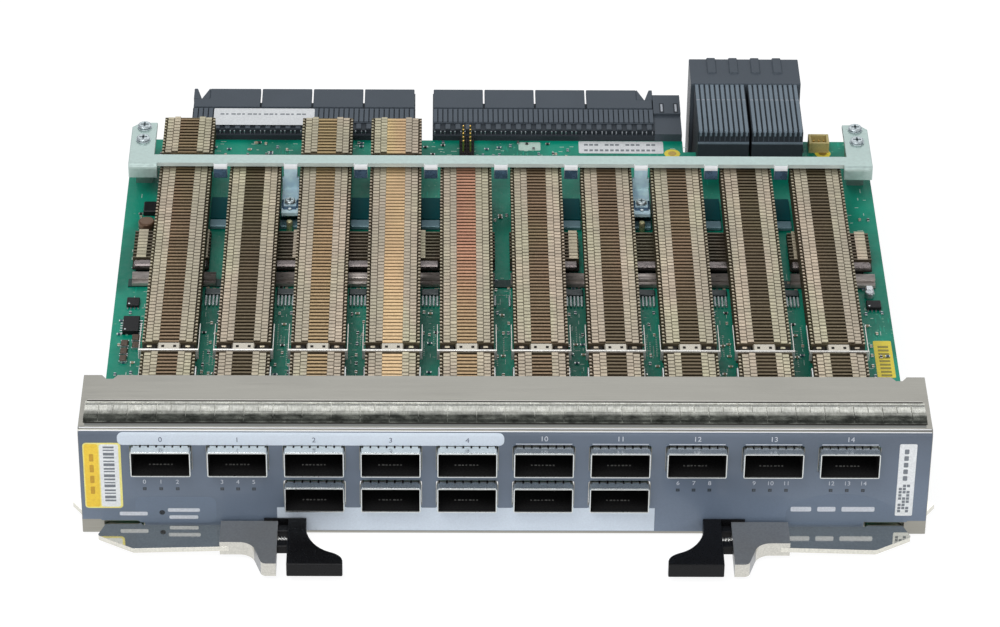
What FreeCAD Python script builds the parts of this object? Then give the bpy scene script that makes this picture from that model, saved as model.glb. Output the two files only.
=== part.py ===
"""Switch line card: a plug-in interface card for a network chassis.

Millimetres. +X runs to the right along the faceplate, +Y back into the chassis,
+Z up. The origin is the middle of the faceplate's bottom flange, on its underside.
"""
import FreeCAD, Part
import math
import os

from FreeCAD import Vector

# Faceplate: one bent sheet, wider than the board by its overhang at each end
FACE_OVERHANG = 5.15
FACE_HEIGHT = 42.5
SHEET = 1.5
TOP_FLANGE = 31.0
FOOT_FLANGE = 16.0
TOP_BEND = 2.2
FOOT_BEND = 1.8
EAR_WIDTH = 7.5
EAR_DIP = 2.2
GAP = 0.3

# Ports: pluggable optics cages on both faces of the board, spread along its width
PORT_MARGIN = 21.6
PORTS_ABOVE = 10
PORTS_BELOW = 5
FIRST_BELOW = 2
OPENING_WIDTH = 18.6
OPENING_HEIGHT = 8.75
CAGE_WALL = 0.45
CAGE_DEPTH = 45.0
NOSE = 4.0
CAGE_FOOT = 0.42
FINGERS = 7
FINGER_RISE = 0.3
CUTOUT_GAP = 0.35
FINGER_SHARE = 0.72
FINGER_BACK = 0.4
CONNECTOR_DEPTH = 11.0
CONNECTOR_SLOT = 1.0

# Main board: its width gives the others theirs
BOARD_WIDTH = 268.2
BOARD_THICK = 3.8
BOARD_DROP = 16.35
BOARD_FRONT = 2.5
BOARD_BACK = 203.5
NOTCH_LENGTH = 7.5

# Port heat sinks: fin stacks on the cages, carried back on a flat heat pipe
SINK_WIDTH = 18.2
SINK_HEADROOM = 0.9
SINK_CLEAR = 5.55
SINK_BASE = 1.2
SINK_FRONT_START = 14.0
SINK_REAR_GAP = 5.0
SINK_REAR_LENGTH = 111.0
SINK_TAIL_GAP = 8.0
SINK_TAIL_LENGTH = 24.0
TAILED_SINKS = ("heat_sink_00", "heat_sink_02", "heat_sink_03")
FIN_PITCH = 14.0
FIN_THICK = 2.0
PIPE_WIDTH = 7.0
PIPE_THICK = 2.5
PIPE_SEAT = 4.0
CLIP_THICK = 0.5
CLIP_DEPTH = 1.0

# Low heat sinks on the switching chips: centre and width along X
CHIP_SINKS = {
    "chip_sink_left": (-116.5, 28.5),
    "chip_sink_middle_left": (-51.0, 59.0),
    "chip_sink_middle": (10.0, 34.0),
    "chip_sink_middle_right": (62.0, 60.0),
    "chip_sink_right": (115.0, 29.0),
}
CHIP_SINK_BACK = 23.3
CHIP_SINK_LENGTH = 22.7
CHIP_SINK_RISE = 5.05
CHIP_HEIGHT = 2.0
RAIL_GAP = 2.0
RAIL_DEPTH = 6.5
RAIL_HEIGHT = 3.4
RAIL_ROUND = 1.2
RAIL_INSET = 4.0
PACKAGE_SHARE = 0.8
PACKAGE_INSET = 1.0

# Small parts near the board's ends: end, inset, reach in front of the rail, width, depth, height
SMALL_PARTS = (
    (1, 5.5, 12.5, 5.0, 5.0, 1.5),
    (1, 6.5, 5.6, 3.2, 5.0, 3.0),
    (-1, 6.5, 12.0, 4.6, 5.0, 1.3),
    (-1, 6.7, 29.6, 6.7, 11.5, 2.0),
    (-1, 5.1, 44.5, 2.6, 14.0, 1.4),
)
CAN_INSET = 8.6
CAN_GAP = 4.4
CAN_RADIUS = 2.9
CAN_HEIGHT = 5.0

# Rear crossbar
BAR_INSET = 1.3
BAR_REACH = 43.0
BAR_DEPTH = 7.1
BAR_LIP = 5.5
BAR_FOOT_LENGTH = 28.5
BAR_FOOT_WIDTH = 9.0
BAR_NOTCH_GAP = 1.0
TAB_COLUMNS = (1.5, 6.5)
TAB_WIDTH = 6.0
TAB_LENGTH = 16.2
TAB_RISE = 6.75
POST_RADIUS = 3.0
SCREW_RADIUS = 2.6
SCREW_HEAD = 1.6
SCREW_SIDES = 12
STANDOFF_SIDES = 6
BAR_SCREWS = (16.5, 25.0)

# Backplane connectors
CONNECTOR_LENGTH = 29.0
CONNECTOR_RISE = 4.25
CONNECTOR_BOTTOM = 6.5
CAP_DEPTH = 12.8
LEFT_CONNECTOR = (-113.0, -31.0)
MIDDLE_CONNECTOR = (-24.5, 57.0)
MODULES = 4
NOTCH_WIDTH = 6.0
NOTCH_DEPTH = 7.0
GROOVE = 0.5
CAP_WALL = 2.0
WAFER_PITCH = 6.6
WAFER_THICK = 3.6
WAFER_SEAT = 10.0
WAFER_RISE = 1.0
BODY_GAP = 1.5
GUIDE_WIDTH = 10.0
GUIDE_BORE = 3.5
GUIDE_BORE_DEPTH = 14.0
GUIDE_STEP = 1.2
TALL_SPACE = 3.5
TALL_WIDTH = 40.5
TALL_LEDGE = 10.5
TALL_REACH = 40.0
TALL_CAP = 17.5
TALL_WALL = 1.2
TALL_MOUTH = 9.0
TALL_RIBS = 4
TALL_RIB_RISE = 0.6
TALL_RIB_WIDTH = 3.2
TALL_BLADES = 5
TALL_BLADE_RISE = 5.0
TALL_GAP = 0.6

# Headers at the board's back edge
HEADER_X = -12.0
HEADER_WIDTH = 5.4
HEADER_DEPTH = 12.4
HEADER_HEIGHT = 2.5
HEADER_EDGE = 1.2
PIN_HEIGHT = 5.5
PIN_SIZE = 0.64
PIN_STEP = 2.54
SHROUD_GAP = 2.1
SHROUD_SIZE = (7.4, 6.5, 4.2)
SHROUD_WALL = 1.0

# Ejector levers: flat arm through a slit in the faceplate, cast grip, sliding trigger
PIVOT_INSET = 3.75
PIVOT_Y = 5.0
PIN_RADIUS = 1.5
PIN_HEAD = 0.9
HUB_RADIUS = 3.1
ARM_THICK = 1.8
ARM_RISE = 1.8
SLIT_START = 3.5
SLIT_WIDTH = 13.0
ARM_GAP = 1.6
ARM_REACH = 14.3
ARM_LEDGE = 1.2
ARM_OVERLAP = 3.0
HOOK_REACH = 9.5
HOOK_ANGLE = 49.0
GRIP_SPAN = 60.8
GRIP_WIDTH = 18.8
GRIP_REACH = 24.5
GRIP_BOTTOM = 1.8
GRIP_TOP = 6.9
GRIP_END = 4.6
GRIP_HEEL = 8.4
GRIP_ROUNDS = (2.0, 5.5)
TRIGGER_GAP = 3.4
TRIGGER_WIDTH = 18.3
TRIGGER_REACH = 25.7
TRIGGER_BOTTOM = 2.5
TRIGGER_TOP = 7.7
LEG_LENGTH = 8.0
LEG_WIDTH = 3.4
TRIGGER_TRAVEL = 2.5
SPRING_RADIUS = 1.1
SPRING_SIDES = 8

# Shielding finger strip on the top flange
STRIP_FRONT = 4.1
STRIP_BACK = 15.9
STRIP_RISE = 1.0
STRIP_BASE = 0.25
FINGER_PITCH = 4.75
FINGER_SLIT = 0.5

# Places worked out from the sizes above
FACE_Y = -FOOT_FLANGE / 2
HALF_BOARD = BOARD_WIDTH / 2
HALF_FACE = HALF_BOARD + FACE_OVERHANG
HALF_BAR = HALF_BOARD - BAR_INSET
PORT_PITCH = 2 * (HALF_BOARD - PORT_MARGIN) / (PORTS_ABOVE - 1)
CAGE_WIDTH = OPENING_WIDTH + 2 * CAGE_WALL
CAGE_HEIGHT = OPENING_HEIGHT + 2 * CAGE_WALL
BOARD_TOP = FACE_HEIGHT - BOARD_DROP
BOARD_BOTTOM = BOARD_TOP - BOARD_THICK
CAGE_TOP = BOARD_TOP + CAGE_FOOT + CAGE_HEIGHT
SINK_TOP = FACE_HEIGHT - SHEET - SINK_HEADROOM
SINK_BOTTOM = BOARD_TOP + SINK_CLEAR
SINK_FRONT_END = CAGE_DEPTH + PIPE_SEAT
SINK_REAR_START = SINK_FRONT_END + SINK_REAR_GAP
SINK_REAR_END = SINK_REAR_START + SINK_REAR_LENGTH
SINK_TAIL_START = SINK_REAR_END + SINK_TAIL_GAP
BAR_FRONT = BOARD_BACK - BAR_REACH
BAR_FOOT_BACK = BAR_FRONT + BAR_FOOT_LENGTH
TAB_FRONT = BAR_FRONT - TAB_LENGTH
TAB_TOP = BOARD_TOP + TAB_RISE
CHIP_SINK_END = BAR_FRONT - CHIP_SINK_BACK
CHIP_SINK_START = CHIP_SINK_END - CHIP_SINK_LENGTH
CHIP_SINK_TOP = BOARD_TOP + CHIP_SINK_RISE
RAIL_END = CHIP_SINK_START - RAIL_GAP
RAIL_START = RAIL_END - RAIL_DEPTH
NOTCH_FRONT = BOARD_BACK - NOTCH_LENGTH
CONNECTOR_BACK = BOARD_BACK + CONNECTOR_LENGTH
CONNECTOR_TOP = BOARD_TOP + CONNECTOR_RISE
TALL_FRONT = NOTCH_FRONT - TALL_LEDGE
TALL_BACK = NOTCH_FRONT + TALL_REACH
PORT_ABOVE_Z = BOARD_TOP + CAGE_FOOT + CAGE_HEIGHT / 2
PORT_BELOW_Z = BOARD_BOTTOM - CAGE_FOOT - CAGE_HEIGHT / 2
ARM_BOTTOM = SHEET + ARM_RISE
ARM_TOP = ARM_BOTTOM + ARM_THICK
PIVOT_X = HALF_FACE - PIVOT_INSET
SLIT_OUTER = PIVOT_X - SLIT_START
SLIT_INNER = SLIT_OUTER - SLIT_WIDTH
GRIP_INNER = PIVOT_X - GRIP_SPAN
TALL_LEFT = MIDDLE_CONNECTOR[1] + GUIDE_WIDTH + TALL_SPACE
TALL_RIGHT = TALL_LEFT + TALL_WIDTH


def back(distance):
    """Y of a point this far behind the faceplate's front."""
    return FACE_Y + distance


def box(x0, x1, y0, y1, z0, z1):
    return Part.makeBox(x1 - x0, y1 - y0, z1 - z0, Vector(x0, y0, z0))


def rod(radius, height, foot, axis=Vector(0, 0, 1)):
    return Part.makeCylinder(radius, height, foot, axis)


def prism(sides, radius, height, foot, axis=Vector(0, 0, 1)):
    """Upright bar with this many flat sides, as far across its flats as twice the radius."""
    reach = radius / math.cos(math.pi / sides)
    turns = [2 * math.pi * (i + 0.5) / sides for i in range(sides)]
    ring = [Vector(reach * math.cos(turn), reach * math.sin(turn), 0) for turn in turns]
    shape = Part.Face(Part.makePolygon(ring + ring[:1])).extrude(Vector(0, 0, height))
    shape.Placement = FreeCAD.Placement(foot, FreeCAD.Rotation(Vector(0, 0, 1), axis))
    return shape


def fuse(shapes):
    joined = shapes[0]
    if len(shapes) > 1:
        joined = joined.multiFuse(shapes[1:])
    return joined.removeSplitter()


def rounded_face(corners, radii, place):
    """Closed outline with a tangent arc at each corner whose radius is over zero."""
    edges = []
    starts, ends, mids = [], [], []
    count = len(corners)
    for i, corner in enumerate(corners):
        here = Vector(corner[0], corner[1], 0)
        before = Vector(*corners[i - 1], 0) - here
        after = Vector(*corners[(i + 1) % count], 0) - here
        before.normalize()
        after.normalize()
        half = before.getAngle(after) / 2
        if radii[i] <= 0:
            starts.append(here)
            ends.append(here)
            mids.append(None)
            continue
        reach = radii[i] / math.tan(half)
        middle = before + after
        middle.normalize()
        starts.append(here + before * reach)
        ends.append(here + after * reach)
        mids.append(here + middle * (radii[i] / math.sin(half) - radii[i]))
    for i in range(count):
        if mids[i]:
            edges.append(Part.Arc(place(starts[i]), place(mids[i]), place(ends[i])).toShape())
        a, b = place(ends[i]), place(starts[(i + 1) % count])
        if a.distanceToPoint(b) > 1e-6:
            edges.append(Part.LineSegment(a, b).toShape())
    return Part.Face(Part.Wire(edges))


def plate_xy(corners, radii, z0, z1):
    face = rounded_face(corners, radii, lambda p: Vector(p.x, p.y, z0))
    return face.extrude(Vector(0, 0, z1 - z0))


def bar_yz(corners, radii, x0, x1):
    face = rounded_face(corners, radii, lambda p: Vector(x0, p.x, p.y))
    return face.extrude(Vector(x1 - x0, 0, 0))


def mirrored(shape):
    return shape.mirror(Vector(0, 0, 0), Vector(1, 0, 0))


def port_x(column):
    return (column - (PORTS_ABOVE - 1) / 2) * PORT_PITCH


def port_places():
    """Number, centre and side of the board of each port; numbers run as printed."""
    places = {}
    half = PORTS_ABOVE // 2
    for column in range(PORTS_ABOVE):
        number = column if column < half else column + PORTS_BELOW
        places[number] = (port_x(column), PORT_ABOVE_Z, 1)
    for i, column in enumerate(range(FIRST_BELOW, FIRST_BELOW + PORTS_BELOW)):
        places[half + i] = (port_x(column), PORT_BELOW_Z, -1)
    return places


def faceplate():
    top = FACE_HEIGHT
    section = [
        (back(FOOT_FLANGE), 0), (back(0), 0), (back(0), top), (back(TOP_FLANGE), top),
        (back(TOP_FLANGE), top - SHEET), (back(SHEET), top - SHEET),
        (back(SHEET), SHEET), (back(FOOT_FLANGE), SHEET),
    ]
    radii = [0, FOOT_BEND, TOP_BEND, 0, 0, TOP_BEND - SHEET, FOOT_BEND - SHEET, 0]
    plate = bar_yz(section, radii, -HALF_FACE, HALF_FACE)
    width = CAGE_WIDTH + 2 * CUTOUT_GAP
    height = CAGE_HEIGHT + 2 * (FINGER_RISE + GAP)
    cuts = []
    for x, z, _ in port_places().values():
        cuts.append(box(x - width / 2, x + width / 2, back(0) - 1, back(SHEET) + 1,
                        z - height / 2, z + height / 2))
    slit = box(SLIT_INNER, SLIT_OUTER, back(0) - 1, back(FOOT_BEND) + 1,
               ARM_BOTTOM - GAP, ARM_TOP + 2 * GAP)
    dip_from = HALF_FACE - EAR_WIDTH - EAR_DIP
    dip = plate_xy(
        [(dip_from - EAR_DIP, back(TOP_FLANGE) + 1), (dip_from, back(TOP_FLANGE) - EAR_DIP),
         (dip_from + EAR_DIP, back(TOP_FLANGE) - EAR_DIP),
         (dip_from + 2 * EAR_DIP, back(TOP_FLANGE) + 1)],
        [0, 0, 0, 0], top - SHEET - 1, top + 1)
    for cut in (slit, dip):
        cuts.extend([cut, mirrored(cut)])
    return plate.cut(cuts)


def emi_strip():
    base = FACE_HEIGHT
    front, rear = back(STRIP_FRONT), back(STRIP_BACK)
    section = [(front, base), (front + 2, base + STRIP_RISE), (rear - 4, base + STRIP_RISE),
               (rear, base)]
    half = HALF_FACE - 1.5
    strip = bar_yz(section, [0] * len(section), -half, half)
    step = 2 * FINGER_PITCH
    count = int(2 * half / step)
    first = -(count - 1) / 2 * step
    slits = []
    for i in range(count):
        x = first + i * step
        slits.append(box(x - FINGER_SLIT / 2, x + FINGER_SLIT / 2, front - 1, rear - 1,
                         base + STRIP_BASE, base + STRIP_RISE + 1))
    return strip.cut(slits)


def main_board():
    half = HALF_BOARD
    right = TALL_RIGHT + GAP
    left = TALL_LEFT - GUIDE_WIDTH / 3
    outline = [
        (-half, back(BOARD_FRONT)), (half, back(BOARD_FRONT)), (half, back(BOARD_BACK)),
        (right, back(BOARD_BACK)), (right, back(NOTCH_FRONT)), (left, back(NOTCH_FRONT)),
        (left, back(BOARD_BACK)), (-half, back(BOARD_BACK)),
    ]
    return plate_xy(outline, [0, 0, 1.5, 0, 0, 0, 0, 1.5], BOARD_BOTTOM, BOARD_TOP)


def port_cage(x, z, side):
    """Folded cage: open nose, closed back, a foot on the board, fingers round the nose."""
    half_w, half_h = CAGE_WIDTH / 2, CAGE_HEIGHT / 2
    shell = box(x - half_w, x + half_w, back(-NOSE), back(CAGE_DEPTH), z - half_h, z + half_h)
    foot_from, foot_to = sorted((z - side * half_h, z - side * (half_h + CAGE_FOOT)))
    foot = box(x - half_w, x + half_w, back(BOARD_FRONT + 1), back(CAGE_DEPTH), foot_from, foot_to)
    pieces = [shell, foot]
    pitch = OPENING_WIDTH / FINGERS
    wide = pitch * FINGER_SHARE
    rise = z + half_h + FINGER_RISE
    section = [(back(-NOSE / 2), z + half_h), (back(-FINGER_BACK), rise), (back(SHEET), z + half_h)]
    for i in range(FINGERS):
        middle = x + (i - (FINGERS - 1) / 2) * pitch
        pieces.append(bar_yz(section, [0, 0, 0], middle - wide / 2, middle + wide / 2))
    cavity = box(x - OPENING_WIDTH / 2, x + OPENING_WIDTH / 2, back(-NOSE) - 1,
                 back(CAGE_DEPTH - CAGE_WALL), z - OPENING_HEIGHT / 2, z + OPENING_HEIGHT / 2)
    return fuse(pieces).cut(cavity)


def port_connectors():
    """Host connectors at the back of the cages, each with its edge-card slot."""
    blocks = []
    for x, z, side in port_places().values():
        rear = back(CAGE_DEPTH - CAGE_WALL)
        front = rear - CONNECTOR_DEPTH
        floor = z - side * OPENING_HEIGHT / 2
        z0, z1 = sorted((floor, z + side * OPENING_HEIGHT / 5))
        half = OPENING_WIDTH / 2 - CONNECTOR_SLOT
        body = box(x - half, x + half, front, rear, z0, z1)
        half -= CONNECTOR_SLOT
        slot = box(x - half, x + half, front - 1, rear - CONNECTOR_DEPTH / 4,
                   z - CONNECTOR_SLOT, z)
        blocks.append(body.cut(slot))
    return Part.makeCompound(blocks)


def fins(x, start, end, base, tip, width):
    """Comb of upright fins across the width, standing on a base slab."""
    x0, x1 = x - width / 2, x + width / 2
    pieces = [box(x0, x1, start, end, base, base + SINK_BASE)]
    count = max(2, int(round((end - start) / FIN_PITCH)) + 1)
    step = (end - start - FIN_THICK) / (count - 1)
    for i in range(count):
        y = start + i * step
        pieces.append(box(x0, x1, y, y + FIN_THICK, base + SINK_BASE, tip))
    return pieces


def heat_sink(x, side, tailed):
    """Front stack on the cage, rear stack behind it, joined by the flat heat pipe."""
    pieces = fins(x, back(SINK_FRONT_START), back(SINK_FRONT_END), CAGE_TOP, SINK_TOP, SINK_WIDTH)
    pieces += fins(x, back(SINK_REAR_START), back(SINK_REAR_END), SINK_BOTTOM, SINK_TOP, SINK_WIDTH)
    if tailed:
        start, half = back(SINK_TAIL_START), SINK_WIDTH / 2
        pieces += fins(x, start, start + SINK_TAIL_LENGTH, SINK_BOTTOM, SINK_TOP, SINK_WIDTH)
        pieces.append(box(x - half, x + half, back(SINK_REAR_END), start,
                          SINK_BOTTOM, SINK_BOTTOM + SINK_BASE))
    half = PIPE_WIDTH / 2
    pieces.append(box(x - half, x + half, back(SINK_FRONT_END - PIPE_SEAT),
                      back(SINK_REAR_START) + FIN_THICK / 2, CAGE_TOP, CAGE_TOP + PIPE_THICK))
    clip = CAGE_WIDTH / 2 + CLIP_THICK
    pieces.append(box(x - clip, x + clip, back(SINK_FRONT_END), back(SINK_FRONT_END) + CLIP_DEPTH,
                      CAGE_TOP, SINK_TOP - CLIP_THICK))
    sink = fuse(pieces)
    if side < 0:
        middle = Vector(0, 0, (BOARD_TOP + BOARD_BOTTOM) / 2)
        sink = sink.mirror(middle, Vector(0, 0, 1))
    return sink


def chip_sink(centre, width):
    """Low fin stack on its chip: a base that bridges the chip, and the fins."""
    base = BOARD_TOP + CHIP_HEIGHT
    start, end = back(CHIP_SINK_START), back(CHIP_SINK_END)
    return fuse(fins(centre, start, end, base, CHIP_SINK_TOP, width))


def board_chips():
    """Packages under the low sinks and the small ones along the board's sides."""
    chips = []
    for centre, width in CHIP_SINKS.values():
        half = width * PACKAGE_SHARE / 2
        chips.append(box(centre - half, centre + half, back(CHIP_SINK_START + PACKAGE_INSET),
                         back(CHIP_SINK_END - PACKAGE_INSET), BOARD_TOP, BOARD_TOP + CHIP_HEIGHT))
    for end, inset, reach, width, depth, height in SMALL_PARTS:
        x = end * (HALF_BOARD - inset)
        y = RAIL_START - reach
        chips.append(box(x - width / 2, x + width / 2, back(y), back(y + depth),
                         BOARD_TOP, BOARD_TOP + height))
    foot = Vector(CAN_INSET - HALF_BOARD, back(CHIP_SINK_END + CAN_GAP), BOARD_TOP)
    return Part.makeCompound(chips + [rod(CAN_RADIUS, CAN_HEIGHT, foot)])


def sink_rail():
    """Cross heat pipe in front of the low sinks, under the long stacks."""
    half = HALF_BOARD - RAIL_INSET
    top = BOARD_TOP + RAIL_HEIGHT
    section = [(back(RAIL_START), BOARD_TOP), (back(RAIL_END), BOARD_TOP),
               (back(RAIL_END), top), (back(RAIL_START), top)]
    return bar_yz(section, [0, 0, RAIL_ROUND, RAIL_ROUND], -half, half)


def rear_crossbar():
    half = HALF_BAR
    top = FACE_HEIGHT
    inner = half - BAR_FOOT_WIDTH
    chamfer = BAR_FOOT_WIDTH / 3
    rear = back(BAR_FRONT + BAR_DEPTH)
    outline = [
        (-half, back(BAR_FRONT)), (half, back(BAR_FRONT)), (half, back(BAR_FOOT_BACK) - chamfer),
        (half - chamfer, back(BAR_FOOT_BACK)), (inner, back(BAR_FOOT_BACK)),
        (inner, rear), (-inner, rear), (-inner, back(BAR_FOOT_BACK)),
        (chamfer - half, back(BAR_FOOT_BACK)), (-half, back(BAR_FOOT_BACK) - chamfer),
    ]
    deck = plate_xy(outline, [0] * len(outline), top - SHEET, top)
    lip = box(-half, half, back(BAR_FRONT), back(BAR_FRONT) + SHEET, top - BAR_LIP, top - SHEET)
    notch = SINK_WIDTH / 2 + BAR_NOTCH_GAP
    notches = []
    for x in map(port_x, range(PORTS_ABOVE)):
        notches.append(box(x - notch, x + notch, back(BAR_FRONT) - 1, back(BAR_FRONT) + SHEET,
                           top - BAR_LIP - 1, top + 1))
    pieces = [deck.fuse(lip).cut(notches)]
    for x in map(port_x, TAB_COLUMNS):
        x0, x1 = x - TAB_WIDTH / 2, x + TAB_WIDTH / 2
        pieces.append(box(x0, x1, back(BAR_FRONT), back(BAR_FRONT) + SHEET,
                          TAB_TOP - SHEET, top - BAR_LIP))
        pieces.append(box(x0, x1, back(TAB_FRONT), back(BAR_FRONT), TAB_TOP - SHEET, TAB_TOP))
    return fuse(pieces)


def crossbar_posts():
    """Standoffs from the board to the bar's feet and to its two tabs."""
    posts = []
    x = HALF_BAR - BAR_FOOT_WIDTH / 2
    for sign in (-1, 1):
        middle = BAR_FRONT + sum(BAR_SCREWS) / 2
        reach = POST_RADIUS + (BAR_SCREWS[1] - BAR_SCREWS[0]) / 2
        posts.append(box(sign * x - POST_RADIUS, sign * x + POST_RADIUS, back(middle - reach),
                         back(middle + reach), BOARD_TOP, FACE_HEIGHT - SHEET))
    for x in map(port_x, TAB_COLUMNS):
        y = (TAB_FRONT + BAR_FRONT) / 2 - 1
        posts.append(prism(STANDOFF_SIDES, SCREW_RADIUS - GAP, TAB_TOP - SHEET - BOARD_TOP,
                           Vector(x, back(y), BOARD_TOP)))
    return Part.makeCompound(posts)


def crossbar_screws():
    """Pan heads of the screws that hold the bar's feet to their posts."""
    heads = []
    x = HALF_BAR - BAR_FOOT_WIDTH / 2
    for sign in (-1, 1):
        for y in BAR_SCREWS:
            heads.append(prism(SCREW_SIDES, SCREW_RADIUS, SCREW_HEAD,
                               Vector(sign * x, back(BAR_FRONT + y), FACE_HEIGHT)))
    return Part.makeCompound(heads)


def connector_housing(x0, x1, fin_side):
    """Cap over the mating face, in modules, with the keying notch at its outer end."""
    rear, front = back(CONNECTOR_BACK), back(CONNECTOR_BACK - CAP_DEPTH)
    cap = box(x0, x1, front, rear, CONNECTOR_BOTTOM, CONNECTOR_TOP)
    tip = x0 if fin_side < 0 else x1
    corner = tip - fin_side
    notch = plate_xy(
        [(corner, rear + 1), (tip - fin_side * NOTCH_WIDTH / 2, rear - NOTCH_DEPTH),
         (tip - fin_side * NOTCH_WIDTH, rear + 1)],
        [0, 0, 0], CONNECTOR_BOTTOM - 1, CONNECTOR_TOP + 1)
    cuts = [notch]
    body = abs(x1 - x0) - NOTCH_WIDTH
    start = x0 + (NOTCH_WIDTH if fin_side < 0 else 0)
    for i in range(1, MODULES):
        x = start + body * i / MODULES
        cuts.append(box(x - GROOVE / 2, x + GROOVE / 2, front - 1, rear + 1,
                        CONNECTOR_TOP - GROOVE, CONNECTOR_TOP + 1))
    slots = box(x0 + NOTCH_WIDTH, x1 - NOTCH_WIDTH, rear - NOTCH_DEPTH, rear + 1,
                CONNECTOR_BOTTOM + CAP_WALL, CONNECTOR_TOP - CAP_WALL)
    return cap.cut(cuts + [slots])


def connector_wafers(x0, x1):
    """Signal wafers behind the cap: body under the board's edge, one blade per wafer."""
    front = back(BOARD_BACK)
    rear = back(CONNECTOR_BACK - CAP_DEPTH)
    pieces = [
        box(x0, x1, front + BODY_GAP, rear, CONNECTOR_BOTTOM, CONNECTOR_TOP - WAFER_RISE),
        box(x0, x1, front - WAFER_SEAT, front + BODY_GAP, CONNECTOR_BOTTOM, BOARD_BOTTOM),
    ]
    count = int((x1 - x0 - WAFER_THICK) / WAFER_PITCH) + 1
    first = (x0 + x1) / 2 - (count - 1) * WAFER_PITCH / 2
    for i in range(count):
        x = first + i * WAFER_PITCH
        pieces.append(box(x - WAFER_THICK / 2, x + WAFER_THICK / 2, front, rear,
                          CONNECTOR_TOP - WAFER_RISE, CONNECTOR_TOP))
    return fuse(pieces)


def guide_block():
    x0, x1 = MIDDLE_CONNECTOR[1], MIDDLE_CONNECTOR[1] + GUIDE_WIDTH
    middle = (x0 + x1) / 2
    rear = back(CONNECTOR_BACK - NOTCH_DEPTH / 2)
    upper = box(x0, x1, back(BOARD_BACK), rear, CONNECTOR_BOTTOM, CONNECTOR_TOP)
    step = box(x0 - 1, x1 + 1, back(BOARD_BACK) - 1, rear - GUIDE_BORE_DEPTH + 1,
               CONNECTOR_TOP - GUIDE_STEP, CONNECTOR_TOP + 1)
    bore = rod(GUIDE_BORE, GUIDE_BORE_DEPTH + 1,
               Vector(middle, rear - GUIDE_BORE_DEPTH, (CONNECTOR_TOP + CONNECTOR_BOTTOM) / 2),
               Vector(0, 1, 0))
    return upper.cut([step, bore])


def tall_shroud():
    """Cap of the tall connector, the full height of the card, with ribs on its top."""
    x0, x1 = TALL_LEFT, TALL_RIGHT
    front, rear = back(TALL_BACK - TALL_CAP), back(TALL_BACK)
    top = FACE_HEIGHT - TALL_RIB_RISE
    shell = box(x0, x1, front, rear, 0, top)
    mouth = box(x0 + TALL_WALL * 2, x1 - TALL_WALL * 2, rear - TALL_MOUTH, rear + 1,
                TALL_WALL * 2, top - TALL_WALL * 2)
    ribs = []
    for i in range(TALL_RIBS):
        x = x0 + TALL_WIDTH * (i + 1) / (TALL_RIBS + 1)
        ribs.append(box(x - TALL_RIB_WIDTH / 2, x + TALL_RIB_WIDTH / 2, rear - TALL_CAP * 0.6,
                        rear, top, FACE_HEIGHT))
    return fuse([shell.cut(mouth)] + ribs)


def tall_wafers():
    """Two modules of upright wafers, with a centre gap and a base under their fronts."""
    front, rear = back(TALL_FRONT), back(TALL_BACK - TALL_CAP)
    top = FACE_HEIGHT - TALL_RIB_RISE
    board = back(NOTCH_FRONT) + GAP
    half = TALL_WIDTH / 2 - TALL_WALL - TALL_GAP
    step = half / TALL_BLADES
    modules = []
    for sign in (-1, 1):
        middle = (TALL_LEFT + TALL_RIGHT) / 2 + sign * (half / 2 + TALL_GAP)
        x0, x1 = middle - half / 2, middle + half / 2
        spine = box(x0, x1, board, rear, 0, top - TALL_WALL)
        ledge = box(x0, x1, front, board, BOARD_TOP, top - TALL_BLADE_RISE)
        pieces = [spine, ledge]
        for i in range(TALL_BLADES):
            x = x0 + (i + 0.5) * step
            pieces.append(box(x - step / 3, x + step / 3, front, rear, top - TALL_BLADE_RISE, top))
        modules.append(fuse(pieces))
    return Part.makeCompound(modules)


def board_headers():
    """Pin header at the board's back edge and the shrouded one beside the tall connector."""
    foot = BOARD_TOP
    tip = foot + HEADER_HEIGHT
    rear = back(BOARD_BACK) - HEADER_EDGE
    half = HEADER_WIDTH / 2
    pieces = [box(HEADER_X - half, HEADER_X + half, rear - HEADER_DEPTH, rear, foot, tip)]
    for row in (-0.5, 0.5):
        for column in (-2, -1, 0, 1, 2):
            x = HEADER_X + row * PIN_STEP - PIN_SIZE / 2
            y = rear - HEADER_DEPTH / 2 + column * PIN_STEP - PIN_SIZE / 2
            pieces.append(box(x, x + PIN_SIZE, y, y + PIN_SIZE, tip, tip + PIN_HEIGHT))
    x0 = TALL_RIGHT + SHROUD_GAP
    x1 = x0 + SHROUD_SIZE[0]
    front = rear - SHROUD_SIZE[1]
    tip = foot + SHROUD_SIZE[2]
    shroud = box(x0, x1, front, rear, foot, tip)
    well = box(x0 + SHROUD_WALL, x1 - SHROUD_WALL, front + SHROUD_WALL, rear - SHROUD_WALL,
               foot + SHROUD_WALL, tip + 1)
    return Part.makeCompound([fuse(pieces), shroud.cut(well)])


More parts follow.
